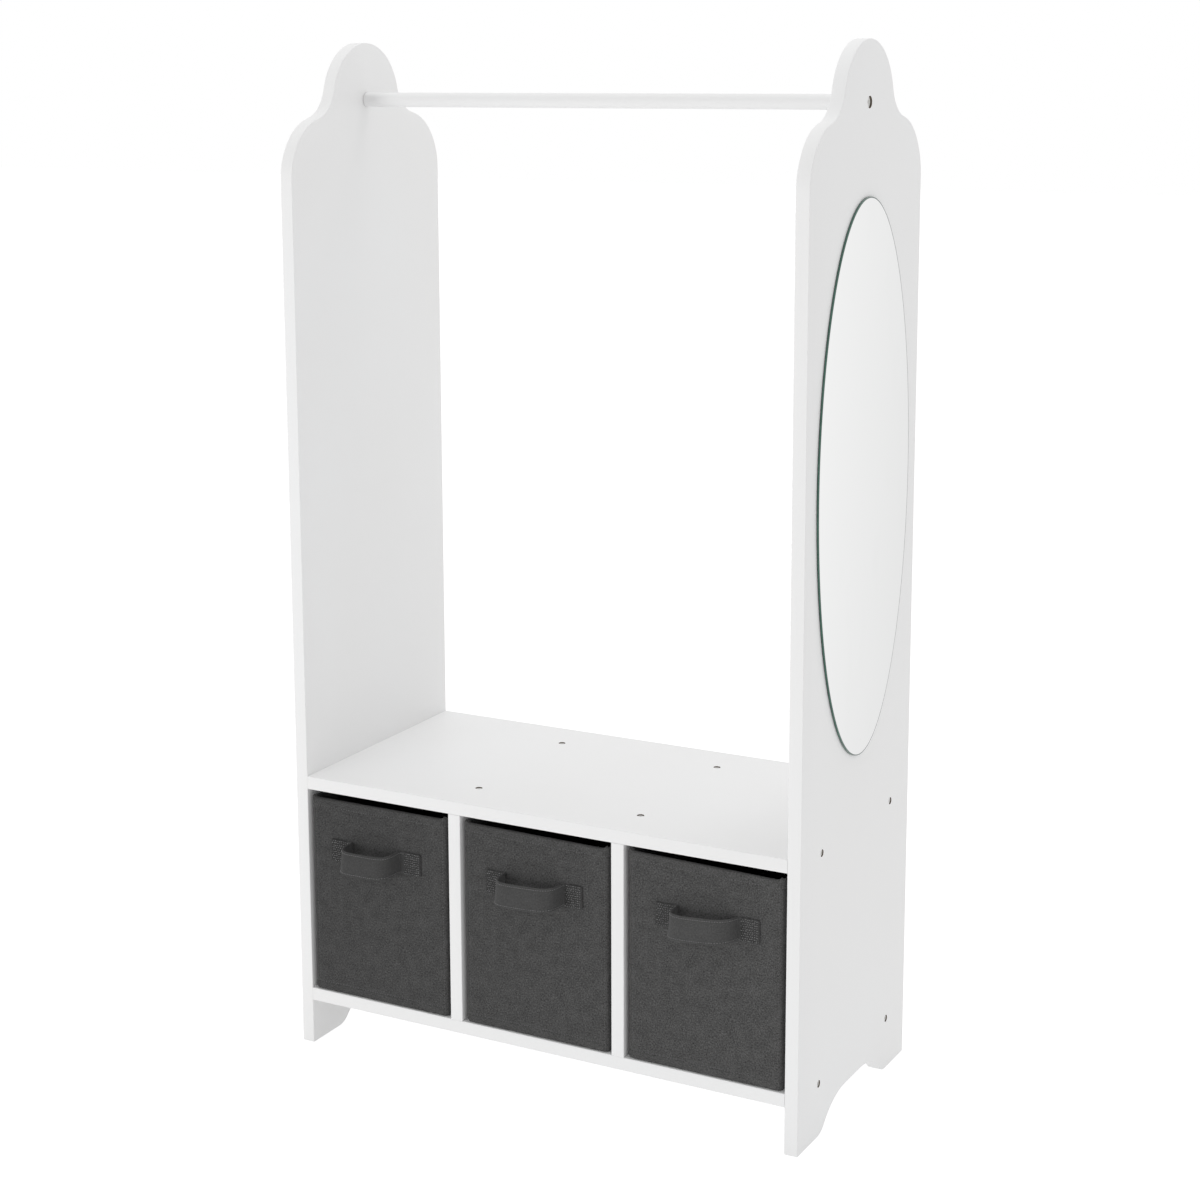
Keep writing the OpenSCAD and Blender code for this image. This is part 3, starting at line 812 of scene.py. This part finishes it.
for side in ("left", "right"):
    side_panel(side)
    upright_board(f"{side}_divider")
flat_board("bench_top", "bench_top_screws", True)
flat_board("bottom_shelf", "bottom_shelf_screws", False)

# %% [markdown]
# ## The rail and the mirror
#
# The rail is steel tube: a wall, a bore and two cut ends with a small chamfer, so it is a closed
# profile of distance and radius carried round an axis. The mirror is a frameless oval of glass. Its
# edge is ground to a narrow bevel on each side, so it is the same kind of solid as a board: an
# outline, here an ellipse, with a profile carried round it. The silver stops a little short of the
# bevel, and the ring of bare glass that is left shows as a fine dark line.

# %% Rail tube and mirror glass
TUBE_WALL = 1 * MM
TUBE_CHAMFER = 0.25 * MM
GLASS_BEVEL = 0.4 * MM
UNSILVERED = 0.8 * MM
TUBE_SIDES, OVAL_SIDES = 96, 200


def rail():
    """Tube along X: distance along the axis, and the radius turned once round it."""
    low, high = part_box("rail_tube")
    outer = (high.z - low.z) / 2
    bore = outer - TUBE_WALL
    cut = outer - TUBE_CHAMFER
    left, right = low.x + TUBE_CHAMFER, high.x - TUBE_CHAMFER
    distance = np.array([low.x, left, right, high.x, high.x, low.x, low.x])
    radius = np.array([cut, outer, outer, cut, bore, bore, cut])
    turn = np.linspace(0, 2 * math.pi, TUBE_SIDES + 1)
    x = np.broadcast_to(distance[:, None], (len(distance), len(turn)))
    y = (low.y + high.y) / 2 + radius[:, None] * np.cos(turn)
    z = (low.z + high.z) / 2 + radius[:, None] * np.sin(turn)
    skins = [grid(np.stack([x, y, z], -1))]
    make_piece("hanging_rail", skins, [RAIL_PAINT], "carcass", ["rail_tube"])


def mirror():
    """Oval plate: half axes times cosine and sine. Outward at each point is the cosine and sine
    over the half axes, made one long. The silver stops a little short of the bevel."""
    low, high = (np.array(corner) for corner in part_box("mirror_glass"))
    half = (high - low)[1:] / 2
    wheel = circle((0, 0), 1.0, OVAL_SIDES)
    out = wheel / half
    out /= np.hypot(*out.T)[:, None]
    outline = (low + high)[1:] / 2 + half * wheel
    place = lifted(0, high[0], -1)
    *skins, _, back = board_skins(outline, -out, high[0] - low[0], place, arris=GLASS_BEVEL)
    rim = outline - out * GLASS_BEVEL
    silver = rim - out * UNSILVERED
    front = [grid(place(closed(np.stack([rim, silver]))), finish=2), flat_skin([silver], place)]
    finishes = [SILVER, GLASS_EDGE, GLASS_RIM]
    make_piece("mirror_plate", [*skins, back, *front], finishes, "carcass", ["mirror_glass"])


rail()
mirror()

# %% [markdown]
# ## Small hardware that keeps its CAD shape
#
# Screws, bolts, plugs, dowels, film, tape and the cards in the bins' walls are right as they are.
# They only get their finishes.

# %% Finishes for the CAD nodes that stay
KEPT = {
    "_screws": ZINC,
    "_bolts": ZINC,
    "_panel_dowels": BEECH_ACROSS,
    "divider_dowels": BEECH_UPRIGHT,
    "_cards": CARD,
    "rail_plugs": NYLON,
    "mirror_film": FILM,
    "mirror_tape": TAPE,
}

for ending, material in KEPT.items():
    kept = [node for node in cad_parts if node.endswith(ending)]
    for node in kept:
        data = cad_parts[node].data
        data.materials.clear()
        data.materials.append(material)
    print(ending, len(kept), "nodes in", material.name)

# %% [markdown]
# ## The cloth bins
#
# Each bin is a bag of woven cloth round four cards. The side seams are sewn a few millimetres in
# from the corners, which leaves a soft ridge down each corner. A row of stitches runs round the
# bottom, a hem is folded over the rim, and the corners of the rim stand up a little, because the
# seams are stiffer there than the cloth between them.
#
# The plan of a bin is a rectangle with round corners. A point on it is found from one number, the
# way round it: the side that it is on, how far along that side, and then how far round the corner.

# %% The plan of a bin
CORNER_R = 6 * MM


class Plan:
    """The rounded rectangle that a bin's walls follow, starting at its front left corner."""

    FORWARD = np.array([(1, 0), (0, 1), (-1, 0), (0, -1)], float)
    OUTWARD = np.array([(0, -1), (1, 0), (0, 1), (-1, 0)], float)

    def __init__(self, low, high, radius=CORNER_R):
        self.radius = radius
        flat = np.array(high) - np.array(low) - 2 * radius
        self.sides = np.tile(flat, 2)
        parts = np.stack([self.sides, np.full(4, radius * math.pi / 2)], 1).ravel()
        self.starts = np.concatenate([[0], np.cumsum(parts)])
        self.length = self.starts[-1]
        middle = (np.array(high) + np.array(low)) / 2
        self.corners = middle + np.array([(-1, -1), (1, -1), (1, 1), (-1, 1)]) * flat / 2
        self.ridges = self.starts[1::2] + radius * math.pi / 4

    def at(self, way):
        """Points and outward directions at distances round the plan: the corner's centre, plus the
        way along the side, plus the radius times a direction that turns with the corner."""
        way = np.asarray(way) % self.length
        part = np.clip(np.searchsorted(self.starts, way, "right") - 1, 0, 7)
        side, local = part // 2, way - self.starts[part]
        rounding = part % 2 == 1
        turn = np.where(rounding, local / self.radius, 0)[..., None]
        along = np.where(rounding, self.sides[side], local)[..., None]
        out = self.OUTWARD[side] * np.cos(turn) + self.FORWARD[side] * np.sin(turn)
        return self.corners[side] + self.FORWARD[side] * along + self.radius * out, out

    def from_ridge(self, way):
        """Distance to the nearest corner ridge."""
        gap = np.abs(np.asarray(way)[..., None] % self.length - self.ridges)
        return np.minimum(gap, self.length - gap).min(-1)

    def samples(self, fine, coarse, near):
        """Distances round the plan, fine within near of each ridge and coarse between them."""
        reaches = np.diff(np.append(self.ridges, self.ridges[0] + self.length))
        steps = []
        for ridge, reach in zip(self.ridges, reaches):
            close = np.arange(0, near, fine)
            far = np.linspace(near, reach - near, max(2, round((reach - 2 * near) / coarse)))
            steps.append(ridge + np.concatenate([close, far, reach - close[:0:-1]]))
        return np.append(np.concatenate(steps), self.ridges[0] + self.length)


# %% [markdown]
# ### How the cloth lies
#
# Stretched cloth is never flat. Three things show: slow unevenness over the cards, a groove along
# every row of stitches, and small puckers beside it. Each is a short formula of the way round and
# the height, and they are added up to say how far the cloth stands off its plan.

# %% The cloth's relief
SEAM_IN = 4.4 * MM
SEAM_UP = 10 * MM
HEM_DEPTH = 10 * MM
HEM_SEAM = 8.6 * MM
HEM_CLOTH = 0.6 * MM
CORNER_LIFT, LIFT_REACH = 2.8 * MM, 4.2 * MM
# How much higher the rim stands at its left and its right end, in millimetres.
RIM_RISES = {"left": (0.7, 0.7), "middle": (2.2, 0.0), "right": (3.6, -0.4)}
WALL_CLOTH = 1.2 * MM
UNDER_R = 2.2 * MM
# Sizes of the relief: the slow waves and how near a corner they die out, the ridge and its width,
# the groove at a seam and its width, the bulge under the foot's seam, and the puckers.
WAVES, WAVES_END = 0.22 * MM, 30 * MM
RIDGE, RIDGE_W = 0.25 * MM, 2.2 * MM
GROOVE, GROOVE_W = 0.55 * MM, 0.9 * MM
BULGE, PUCKER = 0.2 * MM, 0.1 * MM
# The right wall hangs a little further in, and no cloth goes deeper than this towards the cards.
TUCK, DEEPEST = 0.7 * MM, 0.9 * MM


def dip(distance, width):
    """A soft groove: a bell curve, 1 at the stitches and fading with distance."""
    return np.exp(-((distance / width) ** 2))


def slow_waves(way, height, seed, size):
    """Slow unevenness: a few sine waves of different slants and lengths, the same on every run."""
    chance = np.random.default_rng(seed)
    total = np.zeros(np.broadcast(way, height).shape)
    for _ in range(6):
        slant, phase = chance.uniform(0, 2 * math.pi, 2)
        turns = 2 * math.pi / chance.uniform(0.045, 0.12)
        total += np.sin((way * math.cos(slant) + height * math.sin(slant)) * turns + phase)
    return total * size / 3


class Bin:
    """One bin's measures, taken from its nodes' boxes, and the surface that its cloth follows."""

    def __init__(self, name, seed):
        self.name = name
        self.seed = seed
        low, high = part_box(f"{name}_bin_cover")
        self.low, self.high = low, high
        self.plan = Plan(low.xy, high.xy)
        self.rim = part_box(f"{name}_bin_hem")[1].z
        self.body = f"{name}_bin"
        self.cards = [f"{name}_bin_cards"]

    def relief(self, way, z):
        """How far the outer cloth stands off the plan, at a way round and a height."""
        way = np.asarray(way) % self.plan.length
        height = z - self.low.z
        ridge = self.plan.from_ridge(way)
        side_seam, foot_seam = ridge - SEAM_IN, height - SEAM_UP
        total = slow_waves(way, height, self.seed, WAVES) * np.clip(ridge / WAVES_END, 0, 1)
        total += RIDGE * dip(ridge, RIDGE_W)
        total -= GROOVE * dip(side_seam, GROOVE_W)
        total -= GROOVE * dip(foot_seam, GROOVE_W)
        total += BULGE * dip(foot_seam + 4 * MM, 3 * MM)
        down = np.sin(height * 2 * math.pi / 8.3e-3 + 3 * np.sin(way * 40)) * dip(side_seam - 2 * MM, 3 * MM)
        along = np.sin(way * 2 * math.pi / 9.1e-3 + self.seed) * dip(foot_seam - 2 * MM, 3 * MM)
        total += PUCKER * (down + along) * np.clip(height / 0.02, 0, 1)
        total -= TUCK * np.clip(self.plan.at(way)[1][..., 0], 0, 1)
        return np.maximum(total, -DEEPEST)

    def point(self, way, z, off=0.0, cloth=1.0):
        """A point off the plan: by off, and by the relief times cloth."""
        flat, out = self.plan.at(way)
        off = off + cloth * self.relief(way, z)
        return np.concatenate([flat + out * off[..., None], np.broadcast_to(z, off.shape)[..., None]], -1)

    def lift(self, way, share=1.0):
        """How much higher the rim stands: a slope from the left end to the right one, and a share of
        the corners' lift."""
        x = self.plan.at(way)[0][..., 0]
        slope = np.interp(x, (self.low.x, self.high.x), RIM_RISES[self.name]) * MM
        return slope + share * CORNER_LIFT * dip(self.plan.from_ridge(way), LIFT_REACH)


BINS = [Bin(name, seed) for seed, name in enumerate(("left", "middle", "right"), 11)]
print("plan length:", round(BINS[0].plan.length, 4), "rim at", round(BINS[0].rim, 4))

# %% [markdown]
# ### Cover, bottom, lining and hem
#
# The cover, the lining and the hem are each a closed profile carried round the plan, so each has its
# cloth's real thickness. The steps are short where seams need them and longer elsewhere. The cloth's
# own measure, the way along the profile, goes into the map that the weave reads.

# %% Profiles carried round a bin
FINE, COARSE, NEAR = 0.7 * MM, 2.4 * MM, 11 * MM


def steps_up(start, stop, fine, coarse, near):
    """Heights from start to stop, fine within near of the start."""
    far = np.linspace(near, stop, round((stop - near) / coarse))
    return np.concatenate([np.arange(start, near, fine), far])


def quarter(centre, radius, start, end, count=5):
    """Points of a rounding as (off, height)."""
    turn = np.radians(np.linspace(start, end, count))
    return np.stack([centre[0] + radius * np.cos(turn), centre[1] + radius * np.sin(turn)], -1)


def carried(bag, profile, cloth, lift=None, step=COARSE):
    """A closed profile of (off, height) carried round the plan. cloth says how much of the relief
    each of its points takes, and lift adds to the height near the corners."""
    way = bag.plan.samples(FINE, step, NEAR)[:, None]
    z = np.broadcast_to(profile[:, 1], (len(way), len(profile)))
    points = bag.point(np.broadcast_to(way, z.shape), z, profile[:, 0], cloth)
    if lift is not None:
        points[..., 2] += bag.lift(way, lift)
    run = np.append(0, np.cumsum(np.hypot(*np.diff(profile, axis=0).T)))
    return grid(points, np.stack(np.broadcast_arrays(way, run), -1)), points


def bin_cover(bag):
    """Outer cloth: turned under on a small radius, up the wall, and back down its inner face."""
    heights = steps_up(UNDER_R, bag.high.z - bag.low.z, FINE, COARSE, 16 * MM)
    turn = quarter((-UNDER_R, UNDER_R), UNDER_R, -90, 0, 7)[:-1]
    up = np.stack([np.zeros(len(heights)), heights], -1)
    back = [(-WALL_CLOTH, heights[-1]), (-WALL_CLOTH, WALL_CLOTH), (-UNDER_R, WALL_CLOTH), (-UNDER_R, 0)]
    profile = np.concatenate([turn, up, back]) + [0, bag.low.z]
    cloth = np.concatenate([np.sin(np.linspace(0, math.pi / 2, 7))[:-1], np.ones(len(up)), np.zeros(4)])
    shell, _ = carried(bag, profile, cloth)
    node = f"{bag.name}_bin_cover"
    piece = make_piece(f"{node}_cloth", [shell], [CLOTH], bag.body, [node])
    return piece


CUT_ARRIS = 0.2 * MM


def bin_bottom(bag):
    """Bottom cloth: a flat panel inside the turned-under edge."""
    way = bag.plan.samples(FINE, COARSE, NEAR)[:-1]
    flat, out = bag.plan.at(way)
    edge, place = flat - out * UNDER_R, lifted(2, bag.low.z)
    skins = board_skins(edge, -out, WALL_CLOTH, place, arris=CUT_ARRIS, finishes=(0, 0))
    node = f"{bag.name}_bin_bottom"
    piece = make_piece(f"{node}_cloth", skins, [CLOTH], bag.body, [node])


LINING_IN, LINING_CLOTH = 3.3 * MM, 0.8 * MM
LINING_R = 1.6 * MM
LINING_STEP = 6 * MM


def bin_lining(bag):
    """Inner tub: floor and walls in one, with a small radius where they meet."""
    low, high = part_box(f"{bag.name}_bin_lining")
    outer, inner = -LINING_IN, -LINING_IN - LINING_CLOTH
    tight = LINING_R - LINING_CLOTH
    rise = np.linspace(low.z + LINING_R, high.z, 60)
    corner = (outer - LINING_R, low.z + LINING_R)
    up = np.stack([np.full(len(rise), outer), rise], -1)
    down = np.stack([np.full(len(rise), inner), rise[::-1]], -1)
    under, over = quarter(corner, LINING_R, -90, 0), quarter(corner, tight, 0, -90)
    profile = np.concatenate([under, up[1:], down[:-1], over])
    walls, points = carried(bag, profile, np.zeros(len(profile)), step=LINING_STEP)
    floors = [flat_skin([points[:-1, end, :2]], lifted(2, points[0, end, 2])) for end in (0, -1)]
    node = f"{bag.name}_bin_lining"
    piece = make_piece(f"{node}_cloth", [walls, *floors], [LINING], bag.body, [node])


WALL_IN = LINING_IN + LINING_CLOTH
RIM_R = 1.6 * MM
HEM_BITE = 0.6 * MM


def bin_hem(bag):
    """Hem: a band folded over the rim, whose outer layer bites a little into the cover. Its outer
    face thins out towards its lower edge, where its stitches pull it into the cover."""
    rim, foot = bag.rim, bag.rim - HEM_DEPTH
    out, back = HEM_CLOTH, -WALL_IN - HEM_CLOTH
    down = np.linspace(0, HEM_DEPTH - RIM_R, 22)
    pulled = dip(down - (HEM_DEPTH - HEM_SEAM), 0.8 * MM)
    outer = out * np.clip(0.25 + down / (3 * MM), 0, 1) - 0.3 * MM * pulled
    up = np.stack([outer, foot + down], -1)
    bend, top = rim - RIM_R, rim - HEM_CLOTH
    over = [quarter((out - RIM_R, bend), RIM_R, 0, 90), quarter((back + RIM_R, bend), RIM_R, 90, 180)]
    inner = np.stack([np.full(8, back), np.linspace(bend, foot, 8)], -1)
    fold = [(-WALL_IN, foot), (-WALL_IN, top), (-HEM_BITE, top), (-HEM_BITE, foot), up[0]]
    profile = np.concatenate([up, *over, inner[1:], fold])
    cloth = np.zeros(len(profile))
    cloth[: len(up)] = 1
    cloth[len(up) : len(up) + 5] = np.linspace(1, 0, 5)
    cloth[-1] = 1
    lift = np.clip((profile[:, 1] - foot) / (4 * MM), 0.4, 1)
    band, _ = carried(bag, profile, cloth, lift)
    node = f"{bag.name}_bin_hem"
    piece = make_piece(f"{node}_cloth", [band], [CLOTH], bag.body, [node])


BASE_R, BASE_ARRIS = 3 * MM, 1.2 * MM


def bin_base(bag):
    """Lift-out floor: a stiff board wrapped in the lining's cloth, so its edges are round."""
    low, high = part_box(f"{bag.name}_bin_base")
    plan = Plan(low.xy, high.xy, BASE_R)
    flat, out = plan.at(plan.samples(0.6 * MM, 30 * MM, 4 * MM)[:-1])
    place = lifted(2, low.z)
    skins = board_skins(flat, -out, high.z - low.z, place, arris=BASE_ARRIS, finishes=(0, 0))
    node = f"{bag.name}_bin_base"
    make_piece(f"{node}_board", skins, [LINING], f"{bag.name}_base", [node])


for bag in BINS:
    bag.cover = bin_cover(bag)
    bin_bottom(bag)
    bin_lining(bag)
    bin_hem(bag)
    bin_base(bag)

# %% [markdown]
# ### The strap handles
#
# A handle is a flat strap of folded cloth. Both ends are sewn flat to the bin's front with close rows
# of stitches, and the middle stands out in a loop. The loop's plan is a squared ellipse. The strap
# isn't stiff: its lower edge swings out further than its upper edge, its middle droops, and no two
# straps hang alike.

# %% The strap's path and section
STRAP_T, STRAP_W = 2.2 * MM, 25.8 * MM
LOOP_REACH = 30 * MM
PATCH_END = 59.6 * MM
PATCH_OUT = 0.95 * MM
BEND_R = 1.9 * MM
EDGE_SEAM = 2.2 * MM
SEWN = 21.5 * MM
# How each strap hangs: half its loop's width, how square the loop is, how far its lower edge swings
# out for its reach, how far it droops, how much higher its right side stands, how far it sways, and
# where its middle lies from the middle of its place. All but square and lean are millimetres.
STRAPS = {
    "left": dict(half=31.0, square=4.6, lean=0.09, droop=1.8, tip=0.3, sway=-2.2, at=(-3.2, 1.4)),
    "middle": dict(half=35.6, square=4.4, lean=0.12, droop=0.9, tip=1.3, sway=-1.5, at=(-1.2, -0.2)),
    "right": dict(half=34.0, square=3.6, lean=0.16, droop=-0.8, tip=2.2, sway=-3.0, at=(3.6, -0.6)),
}


def strap_path(wide, square, step=0.8 * MM):
    """Plan points of the strap's middle line, evenly spaced: a straight run on the patch, a tight
    bend, half of a squared ellipse, and the same again at the other end."""
    start = wide + BEND_R
    patch = np.array([(-PATCH_END, PATCH_OUT), (-start, PATCH_OUT)])
    bend = quarter((-start, PATCH_OUT + BEND_R), BEND_R, -90, 0, 9)
    turn = np.linspace(math.pi, math.pi / 2, 400)
    bulge = 2 / square
    loop = np.stack([-wide * np.abs(np.cos(turn)) ** bulge, LOOP_REACH * np.sin(turn) ** bulge], -1)
    half = np.concatenate([patch, bend[1:], loop[loop[:, 1] > PATCH_OUT + BEND_R]])
    whole = np.concatenate([half, half[-2::-1] * [-1, 1]])
    way = np.append(0, np.cumsum(np.hypot(*np.diff(whole, axis=0).T)))
    even = np.linspace(0, way[-1], round(way[-1] / step))
    return even, np.stack([np.interp(even, way, whole[:, axis]) for axis in (0, 1)], -1)


for bag in BINS:
    bag.strap_way, bag.strap_plan = strap_path(STRAPS[bag.name]["half"] * MM, STRAPS[bag.name]["square"])
    print(bag.name, "strap length:", round(bag.strap_way[-1], 4))


def strap_section():
    """Closed outline of the folded strap as (up, out): two flat faces, two round folds, and a
    groove along each row of stitches."""
    fold = STRAP_T / 2
    flat = STRAP_W / 2 - fold
    up = np.linspace(-flat, flat, 41)
    groove = 0.3 * MM * dip(np.abs(up) - (STRAP_W / 2 - EDGE_SEAM), 0.7 * MM)
    front = np.stack([up, fold - groove], -1)
    top = quarter((flat, 0), fold, 90, -90, 7)[1:-1]
    return np.concatenate([front, top, front[::-1] * [1, -1], -top, front[:1]])


NUDGE = 1 * MM


def middle_line(bag, way):
    """Plan points of the strap's middle line, at distances along it."""
    return np.stack([np.interp(way, bag.strap_way, bag.strap_plan[:, axis]) for axis in (0, 1)], -1)


def strap_point(bag, way, up, out):
    """A point of the strap, at a way along it, a height over its middle and a distance off its
    middle line. The distance from the bin grows downwards by the lean, the middle droops, and one
    side of the loop may stand higher than the other."""
    hang = STRAPS[bag.name]
    run = middle_line(bag, way + NUDGE) - middle_line(bag, way - NUDGE)
    run /= np.hypot(run[..., 0], run[..., 1])[..., None]
    x, reach = np.moveaxis(middle_line(bag, way), -1, 0)
    x, reach = x - run[..., 1] * out, reach + run[..., 0] * out
    share = np.clip(reach / LOOP_REACH, 0, 1)
    tilt = hang["lean"] * share
    half = STRAP_W / 2
    reach = reach * (1 - tilt * up / half)
    rise = up * np.cos(np.arctan(hang["lean"] * share**2 * LOOP_REACH / half))
    sag = hang["droop"] * share**1.5 - hang["tip"] * share * x / (hang["half"] * MM)
    low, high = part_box(f"{bag.name}_bin_handle")
    x = (low.x + high.x) / 2 + x + (hang["at"][0] + hang["sway"] * share) * MM
    z = (low.z + high.z) / 2 + rise + (hang["at"][1] - sag) * MM
    return np.stack(np.broadcast_arrays(x, bag.low.y - reach, z), -1)


def bin_handle(bag):
    """The strap: its section carried along its path, thinner on the patches, where its corners are
    rounded and its end folds are closed."""
    section = strap_section()
    way = bag.strap_way
    length = way[-1]
    end = np.minimum(way, length - way)
    corner = 2 * MM
    narrow = corner - np.sqrt(np.clip(corner**2 - np.clip(corner - end, 0, corner) ** 2, 0, None))
    thin = np.clip(end / (0.8 * MM), 0, 1) ** 0.5 * np.interp(end, [20 * MM, 28 * MM], [0.75, 1.0])
    up = section[:, 0] * (1 - narrow / (STRAP_W / 2))[:, None]
    points = strap_point(bag, way[:, None], up, section[:, 1] * thin[:, None])
    cloth = np.stack(np.broadcast_arrays(way[:, None], np.linspace(0, 2 * STRAP_W, len(section))), -1)
    node = f"{bag.name}_bin_handle"
    near, far = np.searchsorted(way, (SEWN, length - SEWN))
    # The sewn ends take the darker copy of the cloth, a painted shade, and the loop the lighter copy, a
    # painted highlight.
    parts = [(slice(0, near + 1), 1), (slice(near, far + 1), 0), (slice(far, None), 1)]
    skins = [grid(points[part], cloth[part], finish) for part, finish in parts]
    piece = make_piece(f"{node}_strap", skins, [LIT_STRAP, SHADED_SEWN_STRAP], bag.body, [node])


for bag in BINS:
    bin_handle(bag)

# %% [markdown]
# ### Stitches
#
# A stitch is a short piece of thread that dives into the cloth at both ends. One small capsule is
# enough for its shape; the rows are made by placing that capsule between many pairs of points at
# once, each with its own way up. The walls have fine dark thread. The straps' thread is thicker and
# paler, and on the patches the stitches stray a little from their rows. All the stitches of a bin are
# one piece.

# %% Rows of stitches
STITCH_SHARE = 0.62
WALL_PITCH, WALL_THREAD = 3.3 * MM, 0.26 * MM
PATCH_PITCH, PATCH_THREAD, PATCH_STRAY = 2.5 * MM, 0.38 * MM, 0.6 * MM
PATCH_ROWS, PATCH_OVER = 10, 0.6 * MM
CHANCE = np.random.default_rng(5)


def stitch_skin(rows, finish):
    """A capsule between each start and end: rings of five points, whose middles rise off the cloth
    by half a thickness, and whose tips are sunk in it."""
    starts, ends, ups, thick = (np.concatenate(column) for column in zip(*rows))
    along = ends - starts
    size = np.linalg.norm(along, axis=-1, keepdims=True)
    along = along / size
    up = ups - along * (ups * along).sum(-1, keepdims=True)
    up /= np.linalg.norm(up, axis=-1, keepdims=True)
    side = np.cross(along, up)
    at = np.array([0, 0.12, 0.5, 0.88, 1])
    wide = np.array([0, 0.8, 1, 0.8, 0]) * thick[:, None]
    rise = np.array([-0.6, 0.1, 0.45, 0.1, -0.6]) * thick[:, None]
    turn = np.linspace(0, 2 * math.pi, 6)
    spots = starts[:, None] + (ends - starts)[:, None] * at[None, :, None] + up[:, None] * rise[..., None]
    ring = side[:, None, None] * np.cos(turn)[:, None] + up[:, None, None] * np.sin(turn)[:, None]
    points = spots[:, :, None] + ring * wide[..., None, None]
    single = np.arange(5 * 6).reshape(5, 6)
    quads = np.stack([single[:-1, :-1], single[1:, :-1], single[1:, 1:], single[:-1, 1:]], -1).reshape(-1, 4)
    faces = quads + (np.arange(len(starts)) * single.size)[:, None, None]
    return skin(points, faces.reshape(-1, 4), finish=finish)


def row(length, pitch, share=STITCH_SHARE):
    """Starts and ends of stitches along a length, at an even pitch."""
    count = max(1, round(length / pitch))
    start = (np.arange(count) + (1 - share) / 2) * length / count
    return start, start + share * length / count


def wall_row(bag, ends, way):
    """Ends of stitches on a wall, each with its way off the cloth and its thickness."""
    ups = np.insert(bag.plan.at(way)[1], 2, 0, 1)
    return (*ends, ups, np.full(len(way), WALL_THREAD))


def wall_rows(bag):
    """Rows on the cover: round the hem, round the foot, and up both sides of each ridge."""
    around = row(bag.plan.length, WALL_PITCH)
    rows = []
    for z, off, lifted in ((bag.rim - HEM_SEAM, 0.25 * MM, 0.4), (bag.low.z + SEAM_UP, 0.0, 0.0)):
        ends = [bag.point(way, np.full(len(way), z), off) for way in around]
        for way, end in zip(around, ends):
            if lifted:
                end[:, 2] += bag.lift(way, lifted)
        rows.append(wall_row(bag, ends, around[0]))
    up = [bag.low.z + SEAM_UP + z for z in row(bag.rim - HEM_DEPTH - bag.low.z - SEAM_UP, WALL_PITCH)]
    for ridge in bag.plan.ridges:
        for way in (ridge - SEAM_IN, ridge + SEAM_IN):
            ends = [bag.point(np.full(len(z), way), z) for z in up]
            rows.append(wall_row(bag, ends, np.full(len(up[0]), way)))
    return rows


def strap_line(bag, start, end, pitch=2.6 * MM, share=STITCH_SHARE, thick=0.3 * MM, stray=0.0):
    """A row on the strap's outer face, between two points given as (way, height). Its stitches may
    stray from their places."""
    start, end = np.array(start), np.array(end)
    length = np.hypot(*(end - start))
    marks = [start + (end - start) * (t / length)[:, None] for t in row(length, pitch, share)]
    marks = [mark + CHANCE.uniform(-stray, stray, mark.shape) for mark in marks]
    off = STRAP_T / 2 * 0.97
    ends = [strap_point(bag, mark[:, 0], mark[:, 1], off) for mark in marks]
    above = strap_point(bag, marks[0][:, 0], marks[0][:, 1], off + 1 * MM)
    return (*ends, above - ends[0], np.full(len(above), thick))


def strap_rows(bag):
    """Rows on the strap: along both edges of the loop, and close rows all over each patch, every
    other one half a stitch further on."""
    edge = STRAP_W / 2 - EDGE_SEAM
    length = bag.strap_way[-1]
    near, far = 1.6 * MM, SEWN
    rows = [strap_line(bag, (far, h), (length - far, h)) for h in (-edge, edge)]
    for a, b in ((near, far), (length - far, length - near)):
        for number, height in enumerate(np.linspace(-edge - PATCH_OVER, edge + PATCH_OVER, PATCH_ROWS)):
            start = (a + (number % 2) * PATCH_PITCH / 2, height)
            rows.append(strap_line(bag, start, (b, height), PATCH_PITCH, 0.5, PATCH_THREAD, PATCH_STRAY))
    return rows


def bin_stitches(bag):
    """Both kinds of rows, each in its own thread."""
    kinds = [wall_rows(bag), strap_rows(bag)]
    skins = [stitch_skin(rows, finish) for finish, rows in enumerate(kinds)]
    make_piece(f"{bag.name}_bin_stitches", skins, [THREAD, STRAP_THREAD], bag.body)
    print(sum(len(starts) for rows in kinds for starts, *_ in rows), "stitches")


for bag in BINS:
    bin_stitches(bag)


# %% The boxes
def corners(box):
    return [[round(v, 5) for v in corner] for corner in box]


{"cad": corners(cad_box), "visual": corners(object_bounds())}
